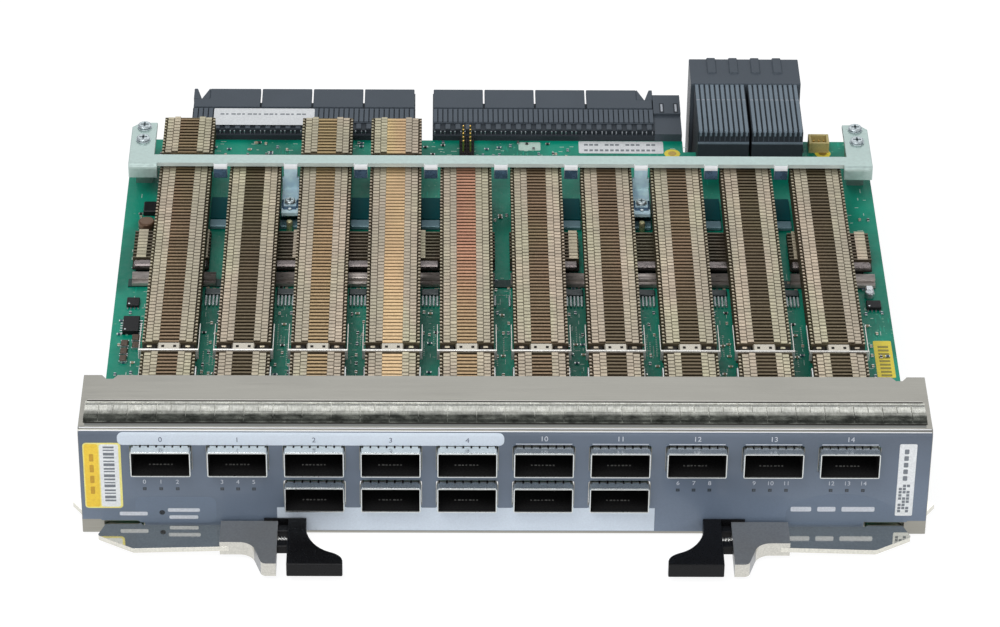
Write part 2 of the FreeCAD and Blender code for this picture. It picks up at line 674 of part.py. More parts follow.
def lever():
    """Right lever: hub and hook behind the plate, arm through the slit, grip in front."""
    px, py = PIVOT_X, back(PIVOT_Y)

    def ray(angle, reach):
        turn = math.radians(angle)
        return (px + reach * math.cos(turn), py + reach * math.sin(turn))

    grip_outer = GRIP_INNER + GRIP_WIDTH
    shoulder = grip_outer - ARM_OVERLAP
    waist = ARM_REACH - ARM_LEDGE
    elbow = grip_outer + (SLIT_OUTER - grip_outer) * 0.73
    clear = math.hypot(PIVOT_X - SLIT_OUTER, PIVOT_Y) + GAP
    inner = clear / math.cos(math.radians(18))
    outer = PIVOT_X - SLIT_INNER - GAP
    corners = [
        (shoulder, back(-waist)), (elbow, back(-ARM_REACH)),
        (SLIT_OUTER + ARM_THICK, back(-ARM_REACH / 2)),
        (SLIT_OUTER - GAP, back(-ARM_GAP)),
        ray(232, inner), ray(196, inner), ray(160, inner), ray(158, HUB_RADIUS - GAP),
        ray(320, HUB_RADIUS - GAP), ray(HOOK_ANGLE - 12, HOOK_REACH),
        ray(HOOK_ANGLE + 6, HOOK_REACH), ray(120, HUB_RADIUS - GAP),
        ray(138, outer), ray(168, outer), ray(198, outer),
        (SLIT_INNER + GAP, back(-ARM_GAP)), (shoulder, back(-ARM_GAP)),
    ]
    radii = [0] * len(corners)
    radii[1], radii[2], radii[12] = 2.0, 1.0, 2.0
    arm = plate_xy(corners, radii, ARM_BOTTOM, ARM_TOP)
    hub = rod(HUB_RADIUS, ARM_TOP - SHEET - GAP, Vector(px, py, SHEET + GAP))
    grip = plate_xy(
        [(grip_outer, back(-ARM_GAP)), (GRIP_INNER, back(-ARM_GAP)),
         (GRIP_INNER, back(-GRIP_REACH)), (GRIP_INNER + GRIP_END, back(-GRIP_REACH)),
         (GRIP_INNER + GRIP_HEEL, back(-waist)), (grip_outer, back(-waist))],
        [0, 0, 0, GRIP_ROUNDS[0], GRIP_ROUNDS[1], 0], GRIP_BOTTOM, GRIP_TOP)
    cuts = [rod(PIN_RADIUS + GAP / 2, ARM_TOP, Vector(px, py, SHEET))]
    for y in leg_centres():
        half = LEG_WIDTH / 2 + GAP / 2
        cuts.append(box(GRIP_INNER - 1, GRIP_INNER + pocket_depth(), y - half, y + half,
                        leg_bottom() - GAP / 2, leg_top() + GAP / 2))
    half = SPRING_RADIUS + GAP / 2
    middle = (leg_bottom() + leg_top()) / 2
    cuts.append(box(GRIP_INNER - 1, GRIP_INNER + pocket_depth(), spring_y() - half,
                    spring_y() + half, middle - half, middle + half))
    return fuse([arm, hub, grip]).cut(cuts)


def leg_centres():
    return (back(-ARM_GAP - 0.8 - LEG_WIDTH / 2), back(-GRIP_REACH * 0.5))


def spring_y():
    return sum(leg_centres()) / 2


def leg_bottom():
    return GRIP_BOTTOM + 1.0


def leg_top():
    return GRIP_TOP - 0.9


def pocket_depth():
    return LEG_LENGTH - TRIGGER_GAP + TRIGGER_TRAVEL + 2 * GAP


def trigger():
    """Right trigger: thumb block beside the grip, two legs and a latch tongue."""
    outer = GRIP_INNER - TRIGGER_GAP
    inner = outer - TRIGGER_WIDTH
    neck = outer - TRIGGER_WIDTH / 3
    block = plate_xy(
        [(outer, back(-ARM_GAP / 2)), (neck, back(-ARM_GAP / 2)),
         (neck, back(-TRIGGER_REACH * 0.42)), (inner + 4.5, back(-TRIGGER_REACH * 0.72)),
         (inner, back(-TRIGGER_REACH * 0.80)), (inner, back(-TRIGGER_REACH)),
         (outer, back(-TRIGGER_REACH))],
        [0, 0, 6, 4, 1.5, 0, 0], TRIGGER_BOTTOM, TRIGGER_TOP)
    pieces = [block]
    for y in leg_centres():
        pieces.append(box(outer - 1, outer + LEG_LENGTH, y - LEG_WIDTH / 2, y + LEG_WIDTH / 2,
                          leg_bottom(), leg_top()))
    pieces.append(box(outer - 1, outer + LEG_LENGTH, back(-ARM_GAP + 0.25),
                      back(-ARM_GAP / 2), GRIP_TOP - 2, TRIGGER_TOP - 0.2))
    return fuse(pieces)


def trigger_spring():
    """Closed outer form of the return spring between the grip's pocket and the trigger."""
    start = GRIP_INNER - TRIGGER_GAP
    foot = Vector(start + 0.05, spring_y(), (leg_bottom() + leg_top()) / 2)
    return prism(SPRING_SIDES, SPRING_RADIUS, TRIGGER_GAP + pocket_depth() - 0.1, foot,
                 Vector(1, 0, 0))


def pivot_pins():
    """Headed pins on the bottom flange, up through the lever hubs."""
    x, y = PIVOT_X, back(PIVOT_Y)
    shank = rod(PIN_RADIUS, ARM_TOP + GAP - SHEET, Vector(x, y, SHEET))
    head = prism(STANDOFF_SIDES, PIN_RADIUS + 1, PIN_HEAD, Vector(x, y, ARM_TOP + GAP))
    pin = shank.fuse(head)
    return Part.makeCompound([pin, mirrored(pin)])


def build():
    parts = {
        "faceplate": faceplate(),
        "emi_strip": emi_strip(),
        "main_board": main_board(),
        "port_connectors": port_connectors(),
        "board_chips": board_chips(),
        "sink_rail": sink_rail(),
        "rear_crossbar": rear_crossbar(),
        "crossbar_posts": crossbar_posts(),
        "crossbar_screws": crossbar_screws(),
        "guide_block": guide_block(),
        "tall_shroud": tall_shroud(),
        "tall_wafers": tall_wafers(),
        "board_headers": board_headers(),
        "pivot_pins": pivot_pins(),
    }
    for name, (centre, width) in CHIP_SINKS.items():
        parts[name] = chip_sink(centre, width)
    for name, ends, fin_side in (("left", LEFT_CONNECTOR, -1), ("middle", MIDDLE_CONNECTOR, 1)):
        parts[name + "_connector_housing"] = connector_housing(ends[0], ends[1], fin_side)
        parts[name + "_connector_wafers"] = connector_wafers(ends[0], ends[1])
    for number, (x, z, side) in port_places().items():
        parts["port_cage_%02d" % number] = port_cage(x, z, side)
        name = "heat_sink_%02d" % number
        parts[name] = heat_sink(x, side, name in TAILED_SINKS)
    for name, maker in (("lever", lever), ("trigger", trigger), ("trigger_spring", trigger_spring)):
        shape = maker()
        parts[name + "_right"] = shape
        parts[name + "_left"] = mirrored(shape)
    return parts


def main():
    os.makedirs("parts", exist_ok=True)
    for name, shape in build().items():
        shape.exportStep("parts/%s.step" % name)


main()
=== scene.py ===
"""Finishes and fine pieces for a switch line card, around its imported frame.

Lengths in the functions are millimetres, and a finished piece is scaled to metres.
"""
import math
import random

import bmesh
import bpy
from mathutils import Matrix, Vector


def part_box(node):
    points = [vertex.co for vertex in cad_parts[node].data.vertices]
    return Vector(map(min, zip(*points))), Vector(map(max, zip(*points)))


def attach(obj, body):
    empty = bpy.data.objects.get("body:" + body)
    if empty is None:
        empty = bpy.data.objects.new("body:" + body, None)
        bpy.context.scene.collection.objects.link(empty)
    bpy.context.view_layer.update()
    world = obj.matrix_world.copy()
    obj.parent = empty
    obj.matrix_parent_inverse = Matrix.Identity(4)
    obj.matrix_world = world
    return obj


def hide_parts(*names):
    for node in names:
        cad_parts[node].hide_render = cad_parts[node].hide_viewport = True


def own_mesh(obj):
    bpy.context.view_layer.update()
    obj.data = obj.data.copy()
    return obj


bl_info = {
    "name": "Switch line card",
    "version": (1, 0, 0),
    "blender": (4, 5, 0),
    "location": "View3D > Sidebar > Line card",
    "description": "Dresses the frame of a plug-in line card with its finishes and fine pieces",
    "category": "Object",
}

MM = 0.001
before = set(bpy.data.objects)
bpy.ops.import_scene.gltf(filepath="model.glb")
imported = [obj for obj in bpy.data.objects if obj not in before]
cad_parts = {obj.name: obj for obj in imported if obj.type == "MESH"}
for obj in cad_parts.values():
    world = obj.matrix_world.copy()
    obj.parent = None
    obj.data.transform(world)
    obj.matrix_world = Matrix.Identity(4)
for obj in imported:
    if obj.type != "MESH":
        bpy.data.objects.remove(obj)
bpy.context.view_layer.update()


def span(node):
    """Lowest and highest corner of a node, in millimetres."""
    low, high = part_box(node)
    return low / MM, high / MM


FACE_LOW, FACE_HIGH = span("faceplate")
BOARD_LOW, BOARD_HIGH = span("main_board")
HALF_FACE = FACE_HIGH.x
PORTS_UP = (0, 1, 2, 3, 4, 10, 11, 12, 13, 14)
PORTS_DOWN = (5, 6, 7, 8, 9)
CAGE_FOOT = 0.42
CAGE_HEIGHT = 9.65
CAGE_HALF = 9.75
TOP_BEND = 2.2
HALF_PITCH = 12.5
FIN_WIDTH = 18.2
FIN_CENTRE = 3.05
FRONT_STACK = (14, 49)
REAR_STACK = (54.2, 167)
TAIL_STACK = (173, 197)
TAB_PORTS = (1, 11)
TAB_SCREW_Y = 151.2
CAP_MOUTH = 7.0
CAP_WALL = 2.0
CAP_NOTCH = 6.0
CAP_SEAM = 0.3
CAP_MODULES = 4
TALL_MOUTH = 9.0
TALL_WALL = 2.6
CHAMBER_PITCH = 1.9
GRIP_LENGTH = 18.8


def back(distance):
    """Y of a point this far behind the faceplate's front."""
    return FACE_LOW.y + distance


def port_x(number):
    low, high = span("port_cage_%02d" % number)
    return (low.x + high.x) / 2


def lane_x(number):
    """Middle of the open lane on the right of a port."""
    return port_x(number) + HALF_PITCH


def port_z(number):
    foot = span("port_cage_%02d" % number)[0].z
    if number in PORTS_DOWN:
        return foot + CAGE_HEIGHT / 2
    return foot + CAGE_FOOT + CAGE_HEIGHT / 2


ROW_Z = port_z(0)
PLATE = BOARD_HIGH.z


def tone(red, green, blue):
    """Colour from its usual 0 to 255 levels."""
    def linear(level):
        share = level / 255
        return share / 12.92 if share <= 0.04045 else ((share + 0.055) / 1.055) ** 2.4
    return (linear(red), linear(green), linear(blue), 1.0)


# Properties -------------------------------------------------------------------------


def colour_property(name, description, default):
    return bpy.props.FloatVectorProperty(
        name=name, description=description, default=default[:3], size=3,
        min=0.0, max=1.0, subtype="COLOR")


def length_property(name, description, default):
    return bpy.props.FloatProperty(
        name=name, description=description, default=default, min=0.0,
        precision=5, subtype="DISTANCE", unit="LENGTH")


class LineCardColours(bpy.types.PropertyGroup):
    """Colours of the card's finishes."""

    slate: colour_property("Face film", "Colour of the film on the face", tone(103, 116, 133))
    lavender: colour_property("Face fields", "Light fields round the ports", tone(215, 225, 235))
    board: colour_property("Board", "Solder mask of the main board", tone(0, 150, 122))
    nickel: colour_property("Fins", "Plated fins of the heat sinks", tone(206, 195, 173))
    flange: colour_property("Flange", "Bare sheet of the faceplate", tone(160, 158, 150))
    bar: colour_property("Crossbar", "Plated sheet of the crossbar", tone(197, 216, 210))
    connector: colour_property("Connectors", "Backplane connector plastic", tone(80, 88, 96))
    trigger: colour_property("Triggers", "Plastic of the lever triggers", tone(19, 19, 21))


class LineCardSizes(bpy.types.PropertyGroup):
    """Sizes of the card's fine pieces."""

    fin_pitch: length_property("Fin pitch", "Distance from one fin to the next", 0.002)
    finger_pitch: length_property("Finger pitch", "Distance between strip fingers", 0.00475)
    film: length_property("Film", "Thickness of the film on the face", 0.00012)
    edge: length_property("Edge", "Width of the softened edges of sheet pieces", 0.00025)


def sizes():
    return bpy.context.scene.line_card_sizes


def colours():
    return bpy.context.scene.line_card_colours


# Finishes ---------------------------------------------------------------------------


class Finish:
    """Builds one material whose pattern follows the piece's own coordinates."""

    def __init__(self, name, metallic=0.0, coat=0.0, coat_roughness=0.1, sheen=0.5):
        self.material = bpy.data.materials.new("finish_" + name)
        self.material.use_nodes = True
        self.tree = self.material.node_tree
        self.shader = self.tree.nodes["Principled BSDF"]
        self.shader.inputs["Metallic"].default_value = metallic
        self.shader.inputs["Specular IOR Level"].default_value = sheen
        self.shader.inputs["Coat Weight"].default_value = coat
        self.shader.inputs["Coat Roughness"].default_value = coat_roughness
        self.place = self.node("ShaderNodeTexCoord").outputs["Object"]

    def node(self, kind, settings=(), **values):
        made = self.tree.nodes.new(kind)
        for key, value in dict(settings).items():
            setattr(made, key, value)
        for key, value in values.items():
            socket = made.inputs[int(key[1:])] if key[0] == "_" else made.inputs[key]
            if isinstance(value, bpy.types.NodeSocket):
                self.tree.links.new(value, socket)
            else:
                socket.default_value = value
        return made

    def noise(self, stretch, detail=2.0, rough=0.5):
        """Soft noise with this many cells to the metre along each axis."""
        place = self.node("ShaderNodeMapping", Vector=self.place, Scale=stretch)
        made = self.node("ShaderNodeTexNoise", Vector=place.outputs[0], Scale=1.0,
                         Detail=detail, Roughness=rough)
        return made.outputs["Fac"]

    def cells(self, stretch):
        place = self.node("ShaderNodeMapping", Vector=self.place, Scale=stretch)
        made = self.node("ShaderNodeTexVoronoi", Vector=place.outputs[0], Scale=1.0)
        return made.outputs["Color"]

    def range(self, source, low, high, start=0.3, end=0.7):
        made = self.node("ShaderNodeMapRange", _0=source, _1=start, _2=end, _3=low, _4=high)
        return made.outputs[0]

    def math(self, operation, first, second=0.0):
        made = self.node("ShaderNodeMath", {"operation": operation}, _0=first, _1=second)
        return made.outputs[0]

    def axis(self, letter):
        return self.node("ShaderNodeSeparateXYZ", _0=self.place).outputs[letter.upper()]

    def mix(self, factor, first, second, blend="MIX"):
        made = self.node("ShaderNodeMix", {"data_type": "RGBA", "blend_type": blend},
                         _0=factor, _6=first, _7=second)
        return made.outputs[2]

    def relief(self, height, depth):
        made = self.node("ShaderNodeBump", Height=height, Strength=1.0, Distance=depth)
        self.tree.links.new(made.outputs[0], self.shader.inputs["Normal"])

    def colour(self, source):
        self.tree.links.new(source, self.shader.inputs["Base Color"])

    def roughness(self, source):
        self.tree.links.new(source, self.shader.inputs["Roughness"])


def shade(colour, factor):
    return tuple(min(1.0, level * factor) for level in colour[:3]) + (1.0,)


def grained(name, colour, metallic=0.0, rough=(0.3, 0.5), grain=(900, 900, 900), shades=(0.85, 1.12),
            depth=0.00001, stain=(60, 60, 60), stain_colour=None, stain_share=0.25, coat=0.0, sheen=0.5):
    """A finish with fine grain, a slow change of shade and small changes of gloss."""
    ready = bpy.data.materials.get("finish_" + name)
    if ready:
        return ready
    finish = Finish(name, metallic, coat, sheen=sheen)
    fine = finish.noise(grain, 3.0)
    slow = finish.noise(stain, 2.0)
    low, high = shade(colour, shades[0]), shade(colour, shades[1])
    base = finish.mix(finish.range(fine, 0.0, 1.0), low, high)
    other = stain_colour or shade(colour, shades[0] * 0.85)
    spread = finish.range(slow, 0.0, stain_share, 0.45, 0.75)
    finish.colour(finish.mix(spread, base, other))
    finish.roughness(finish.range(fine, rough[0], rough[1]))
    finish.relief(fine, depth)
    return finish.material


def board_finish():
    """Solder mask over fine tracks, with lighter pours and rows of vias."""
    ready = bpy.data.materials.get("finish_board_mask")
    if ready:
        return ready
    finish = Finish("board_mask", coat=0.05, coat_roughness=0.2, sheen=0.25)
    base = tuple(colours().board) + (1.0,)
    patches = finish.noise((45, 30, 45), 2.0)
    ground = finish.mix(finish.range(patches, 0.0, 1.0, 0.42, 0.58), shade(base, 0.66), shade(base, 1.1))
    place = finish.node("ShaderNodeMapping", Vector=finish.place, Scale=(1400, 130, 400))
    tracks = finish.node("ShaderNodeTexVoronoi", Vector=place.outputs[0], Scale=1.0,
                         Randomness=0.85).outputs["Distance"]
    lines = finish.range(tracks, 1.0, 0.0, 0.12, 0.3)
    area = finish.range(finish.noise((70, 50, 60), 1.0), 0.0, 0.55, 0.5, 0.62)
    traced = finish.mix(finish.math("MULTIPLY", lines, area), ground, shade(base, 1.7))
    vias = finish.node("ShaderNodeTexVoronoi", Vector=finish.node(
        "ShaderNodeMapping", Vector=finish.place, Scale=(420, 420, 420)).outputs[0],
        Scale=1.0, Randomness=0.35).outputs["Distance"]
    dots = finish.range(vias, 0.8, 0.0, 0.14, 0.2)
    finish.colour(finish.mix(finish.math("MULTIPLY", dots, area), traced, tone(130, 190, 160)))
    finish.roughness(finish.range(finish.noise((600, 600, 600)), 0.32, 0.5))
    finish.relief(finish.math("ADD", lines, dots), 0.00002)
    return finish.material


def fin_finish(name, colour, dark, ahead=None):
    """Plated fins: cool and warm patches, with a tarnish that differs from fin to fin."""
    ready = bpy.data.materials.get("finish_" + name)
    if ready:
        return ready
    finish = Finish(name, metallic=0.55)
    each = finish.noise((30, 520, 30), 1.0)
    slow = finish.noise((90, 14, 60), 2.0)
    cool = finish.noise((70, 20, 40), 1.0)
    fine = finish.noise((1600, 1600, 1600), 2.0)
    base = finish.mix(finish.range(each, 0.0, 1.0, 0.35, 0.65), shade(colour, 0.82), shade(colour, 1.14))
    sheen = finish.mix(finish.range(cool, 0.0, 1.0, 0.4, 0.6), (1.0, 0.9, 0.88, 1.0), (0.94, 1.0, 0.86, 1.0))
    base = finish.mix(0.8, base, sheen, "MULTIPLY")
    warm = finish.mix(finish.range(slow, 0.0, 0.7, 0.4, 0.65), base, dark)
    if ahead:
        start = finish.range(finish.axis("y"), 1.0, 0.0, back(62) * MM, back(118) * MM)
        warm = finish.mix(start, warm, ahead)
    finish.colour(finish.mix(finish.range(fine, 0.0, 0.25), warm, shade(colour, 0.6)))
    finish.roughness(finish.range(fine, 0.28, 0.46))
    finish.relief(fine, 0.00001)
    return finish.material


def strip_finish():
    """Bright spring strip, with a darker mottled painted reflection on its front half."""
    ready = bpy.data.materials.get("finish_strip_metal")
    if ready:
        return ready
    finish = Finish("strip_metal", metallic=0.9)
    blots = finish.noise((230, 330, 330), 4.0, 0.7)
    front = finish.range(finish.axis("y"), 1.0, 0.0, back(7.5) * MM, back(10.5) * MM)
    fine = finish.noise((2500, 400, 2500), 2.0)
    bright = finish.mix(finish.range(fine, 0.0, 1.0), tone(180, 180, 170), tone(212, 212, 204))
    # Painted reflection: the front half of the fingers is painted darker and mottled.
    painted_reflection_mottle = finish.mix(finish.range(blots, 0.0, 1.0, 0.36, 0.62), tone(94, 96, 89), tone(44, 46, 41))
    finish.colour(finish.mix(front, bright, painted_reflection_mottle))
    finish.roughness(finish.range(blots, 0.2, 0.5))
    finish.relief(blots, 0.00008)
    return finish.material


def film_finish(slate):
    """Satin film with a painted reflection: paler towards the foot of the face and in slow patches."""
    finish = Finish("face_film", coat=0.25)
    fine = finish.noise((1800, 1800, 1800), 3.0)
    slow = finish.noise((16, 16, 34), 2.0)
    # Painted reflection: the film is painted paler towards the foot of the face and in slow patches.
    foot = finish.range(finish.axis("z"), 1.0, 0.0, 0.004, 0.034)
    patch = finish.math("MULTIPLY", finish.math("ADD", foot, finish.range(slow, 0.0, 1.0)), 0.5)
    base = finish.mix(patch, shade(slate, 0.62), shade(slate, 1.4))
    finish.colour(finish.mix(finish.range(fine, 0.0, 0.3), base, shade(slate, 0.9)))
    finish.roughness(finish.range(fine, 0.34, 0.46))
    finish.relief(fine, 0.000006)
    return finish.material


def brushed(name, colour, along="x", rough=(0.28, 0.42), metallic=1.0, shades=(0.9, 1.08), depth=0.000006):
    """Sheet metal with fine brush lines along one axis."""
    stretch = [2600, 2600, 2600]
    stretch["xyz".index(along)] = 40
    return grained(name, colour, metallic, rough, tuple(stretch), shades, depth, (25, 60, 60),
                   shade(colour, 0.86), 0.5)


def bare_sheet():
    return brushed("faceplate_sheet", tuple(colours().flange))


def plain(name, colour, rough=0.45, metallic=0.0, coat=0.0):
    depth = 0.000005 if rough > 0.25 else 0.000001
    return grained(name, colour, metallic, (rough * 0.8, min(1.0, rough * 1.2)), (1500, 1500, 1500),
                   (0.9, 1.08), depth, (150, 150, 150), None, 0.2, coat)


def plastic(name, colour, rough=0.4, sheen=0.22):
    return grained(name, colour, 0.0, (rough * 0.8, rough * 1.25), (2200, 2200, 2200), (0.88, 1.14),
                   0.00001, (70, 70, 70), shade(colour, 1.25), 0.3, 0.0, sheen)


def gold():
    return plain("contact_gold", tone(214, 176, 96), 0.3, 0.9)


def white_ink():
    return plain("ink_white", tone(212, 216, 224), 0.6)


# Shapes -----------------------------------------------------------------------------


def box(bm, x0, x1, y0, y1, z0, z1, material=0, edge=0.0):
    """Adds a block between two corners, with its edges softened where asked."""
    size = Vector((x1 - x0, y1 - y0, z1 - z0))
    middle = Vector((x0 + x1, y0 + y1, z0 + z1)) / 2
    made = bmesh.ops.create_cube(bm, size=1.0, matrix=Matrix.LocRotScale(middle, None, size))
    faces = {face for vert in made["verts"] for face in vert.link_faces}
    for face in faces:
        face.material_index = material
    if edge:
        edges = {e for vert in made["verts"] for e in vert.link_edges}
        bmesh.ops.bevel(bm, geom=list(edges), offset=edge, affect="EDGES", segments=1,
                        profile=0.5, material=-1)
    return made["verts"]


def slab(bm, points, push, material=0, edge=0.0, segments=1):
    """Adds a flat outline pushed along a vector, with its edges softened where asked."""
    verts = [bm.verts.new(point) for point in points]
    face = bm.faces.new(verts)
    moved = bmesh.ops.extrude_face_region(bm, geom=[face])
    fresh = [item for item in moved["geom"] if isinstance(item, bmesh.types.BMVert)]
    bmesh.ops.translate(bm, vec=push, verts=fresh)
    faces = {f for vert in verts + fresh for f in vert.link_faces}
    for f in faces:
        f.material_index = material
    bmesh.ops.recalc_face_normals(bm, faces=list(faces))
    if edge:
        edges = {e for vert in verts + fresh for e in vert.link_edges}
        sharp = [e for e in edges if e.calc_face_angle(0) > math.radians(30)]
        bmesh.ops.bevel(bm, geom=sharp, offset=edge, affect="EDGES", segments=segments,
                        profile=0.5, material=-1)
    return verts + fresh


def cylinder(bm, radius, foot, height, material=0, sides=24, axis="z", top=None, edge=0.0):
    """Adds a round bar or cone that starts at its foot."""
    turn = {"z": Matrix.Identity(4), "y": Matrix.Rotation(-math.pi / 2, 4, "X"),
            "x": Matrix.Rotation(math.pi / 2, 4, "Y")}[axis]
    rise = Matrix.Translation(Vector((0, 0, height / 2)))
    matrix = Matrix.Translation(Vector(foot)) @ turn @ rise
    made = bmesh.ops.create_cone(bm, cap_ends=True, segments=sides, radius1=radius,
                                 radius2=radius if top is None else top, depth=height, matrix=matrix)
    faces = {face for vert in made["verts"] for face in vert.link_faces}
    for face in faces:
        face.material_index = material
        face.smooth = len(face.verts) == 4
    if edge:
        rims = {e for face in faces if len(face.verts) > 4 for e in face.edges}
        bmesh.ops.bevel(bm, geom=list(rims), offset=edge, affect="EDGES", segments=2,
                        profile=0.5, material=-1)
    return made["verts"]


def rounded(x0, x1, z0, z1, radius, steps=4):
    """Corners of a rectangle with rounded ends, as pairs."""
    points = []
    for cx, cz, start in ((x1 - radius, z1 - radius, 0), (x0 + radius, z1 - radius, 90),
                          (x0 + radius, z0 + radius, 180), (x1 - radius, z0 + radius, 270)):
        for i in range(steps + 1):
            turn = math.radians(start + 90 * i / steps)
            points.append((cx + radius * math.cos(turn), cz + radius * math.sin(turn)))
    return points


def face_plate(bm, outline, front, thickness, material=0, holes=()):
    """Adds a thin upright plate on the face from its outline and holes, as x and z pairs."""
    edges = []
    for loop in [outline, *holes]:
        verts = [bm.verts.new((x, front, z)) for x, z in loop]
        edges += [bm.edges.new((verts[i - 1], verts[i])) for i in range(len(verts))]
    filled = bmesh.ops.triangle_fill(bm, use_beauty=True, edges=edges)
    faces = [item for item in filled["geom"] if isinstance(item, bmesh.types.BMFace)]
    moved = bmesh.ops.extrude_face_region(bm, geom=faces)
    fresh = [item for item in moved["geom"] if isinstance(item, bmesh.types.BMVert)]
    bmesh.ops.translate(bm, vec=(0, thickness, 0), verts=fresh)
    around = {f for vert in fresh for f in vert.link_faces} | {f for f in faces if f.is_valid}
    for f in around:
        f.material_index = material
    bmesh.ops.recalc_face_normals(bm, faces=list(around))


def over_bend(bm):
    """Bends what reaches above the flat of the face back over the sheet's top bend."""
    start = FACE_HIGH.z - TOP_BEND
    for i in range(5):
        bmesh.ops.bisect_plane(bm, geom=bm.verts[:] + bm.edges[:] + bm.faces[:], dist=0.0001,
                               plane_co=(0, 0, start + i * 0.4), plane_no=(0, 0, 1))
    for vert in bm.verts:
        rise = vert.co.z - start
        if rise > 0:
            reach = TOP_BEND + FACE_LOW.y - vert.co.y
            turn = rise / TOP_BEND
            vert.co.y = FACE_LOW.y + TOP_BEND - reach * math.cos(turn)
            vert.co.z = start + reach * math.sin(turn)


def finished(name, bm, materials, body="card", nodes=()):
    """Turns a bmesh in millimetres into a piece that rides on its body."""
    bmesh.ops.scale(bm, vec=(MM, MM, MM), verts=bm.verts)
    mesh = bpy.data.meshes.new(name)
    bm.to_mesh(mesh)
    bm.free()
    for material in materials:
        mesh.materials.append(material)
    piece = bpy.data.objects.new(name, mesh)
    bpy.context.scene.collection.objects.link(piece)
    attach(piece, body)
    if nodes:
        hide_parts(*nodes)
    return piece


def copied(nodes, edge, segments=2, angle=30):
    """A bmesh in millimetres of CAD nodes, merged, with softened edges."""
    bm = bmesh.new()
    for node in nodes:
        bm.from_mesh(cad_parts[node].data)
    bmesh.ops.scale(bm, vec=(1 / MM, 1 / MM, 1 / MM), verts=bm.verts)
    bmesh.ops.remove_doubles(bm, verts=bm.verts, dist=0.004)
    bmesh.ops.dissolve_limit(bm, angle_limit=math.radians(2), verts=bm.verts, edges=bm.edges,
                             delimit={"NORMAL"})
    for face in bm.faces:
        face.material_index = 0
        face.smooth = False
    if edge:
        sharp = [e for e in bm.edges if e.is_manifold and e.calc_face_angle(0) > math.radians(angle)]
        bmesh.ops.bevel(bm, geom=sharp, offset=edge, affect="EDGES", segments=segments,
                        profile=0.5, material=-1, clamp_overlap=True)
    return bm


def painted(node, material):
    """Gives a CAD node its finish."""
    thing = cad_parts[node]
    thing.data.materials.clear()
    thing.data.materials.append(material)


def lettering(bm, text, size, x, front, z, thickness, material=0):
    """Adds upright figures, centred on a place on the face."""
    curve = bpy.data.curves.new("figure", "FONT")
    curve.body = text
    curve.size = size
    curve.align_x = "CENTER"
    curve.align_y = "CENTER"
    curve.extrude = thickness / 2
    thing = bpy.data.objects.new("figure", curve)
    bpy.context.scene.collection.objects.link(thing)
    bpy.context.view_layer.update()
    mesh = bpy.data.meshes.new_from_object(thing)
    mesh.transform(Matrix.Translation((x, front, z)) @ Matrix.Rotation(math.pi / 2, 4, "X"))
    first = len(bm.faces)
    bm.from_mesh(mesh)
    bm.faces.ensure_lookup_table()
    for face in bm.faces[first:]:
        face.material_index = material
    bpy.data.objects.remove(thing)
    bpy.data.curves.remove(curve)
    bpy.data.meshes.remove(mesh)


# Stage ------------------------------------------------------------------------------


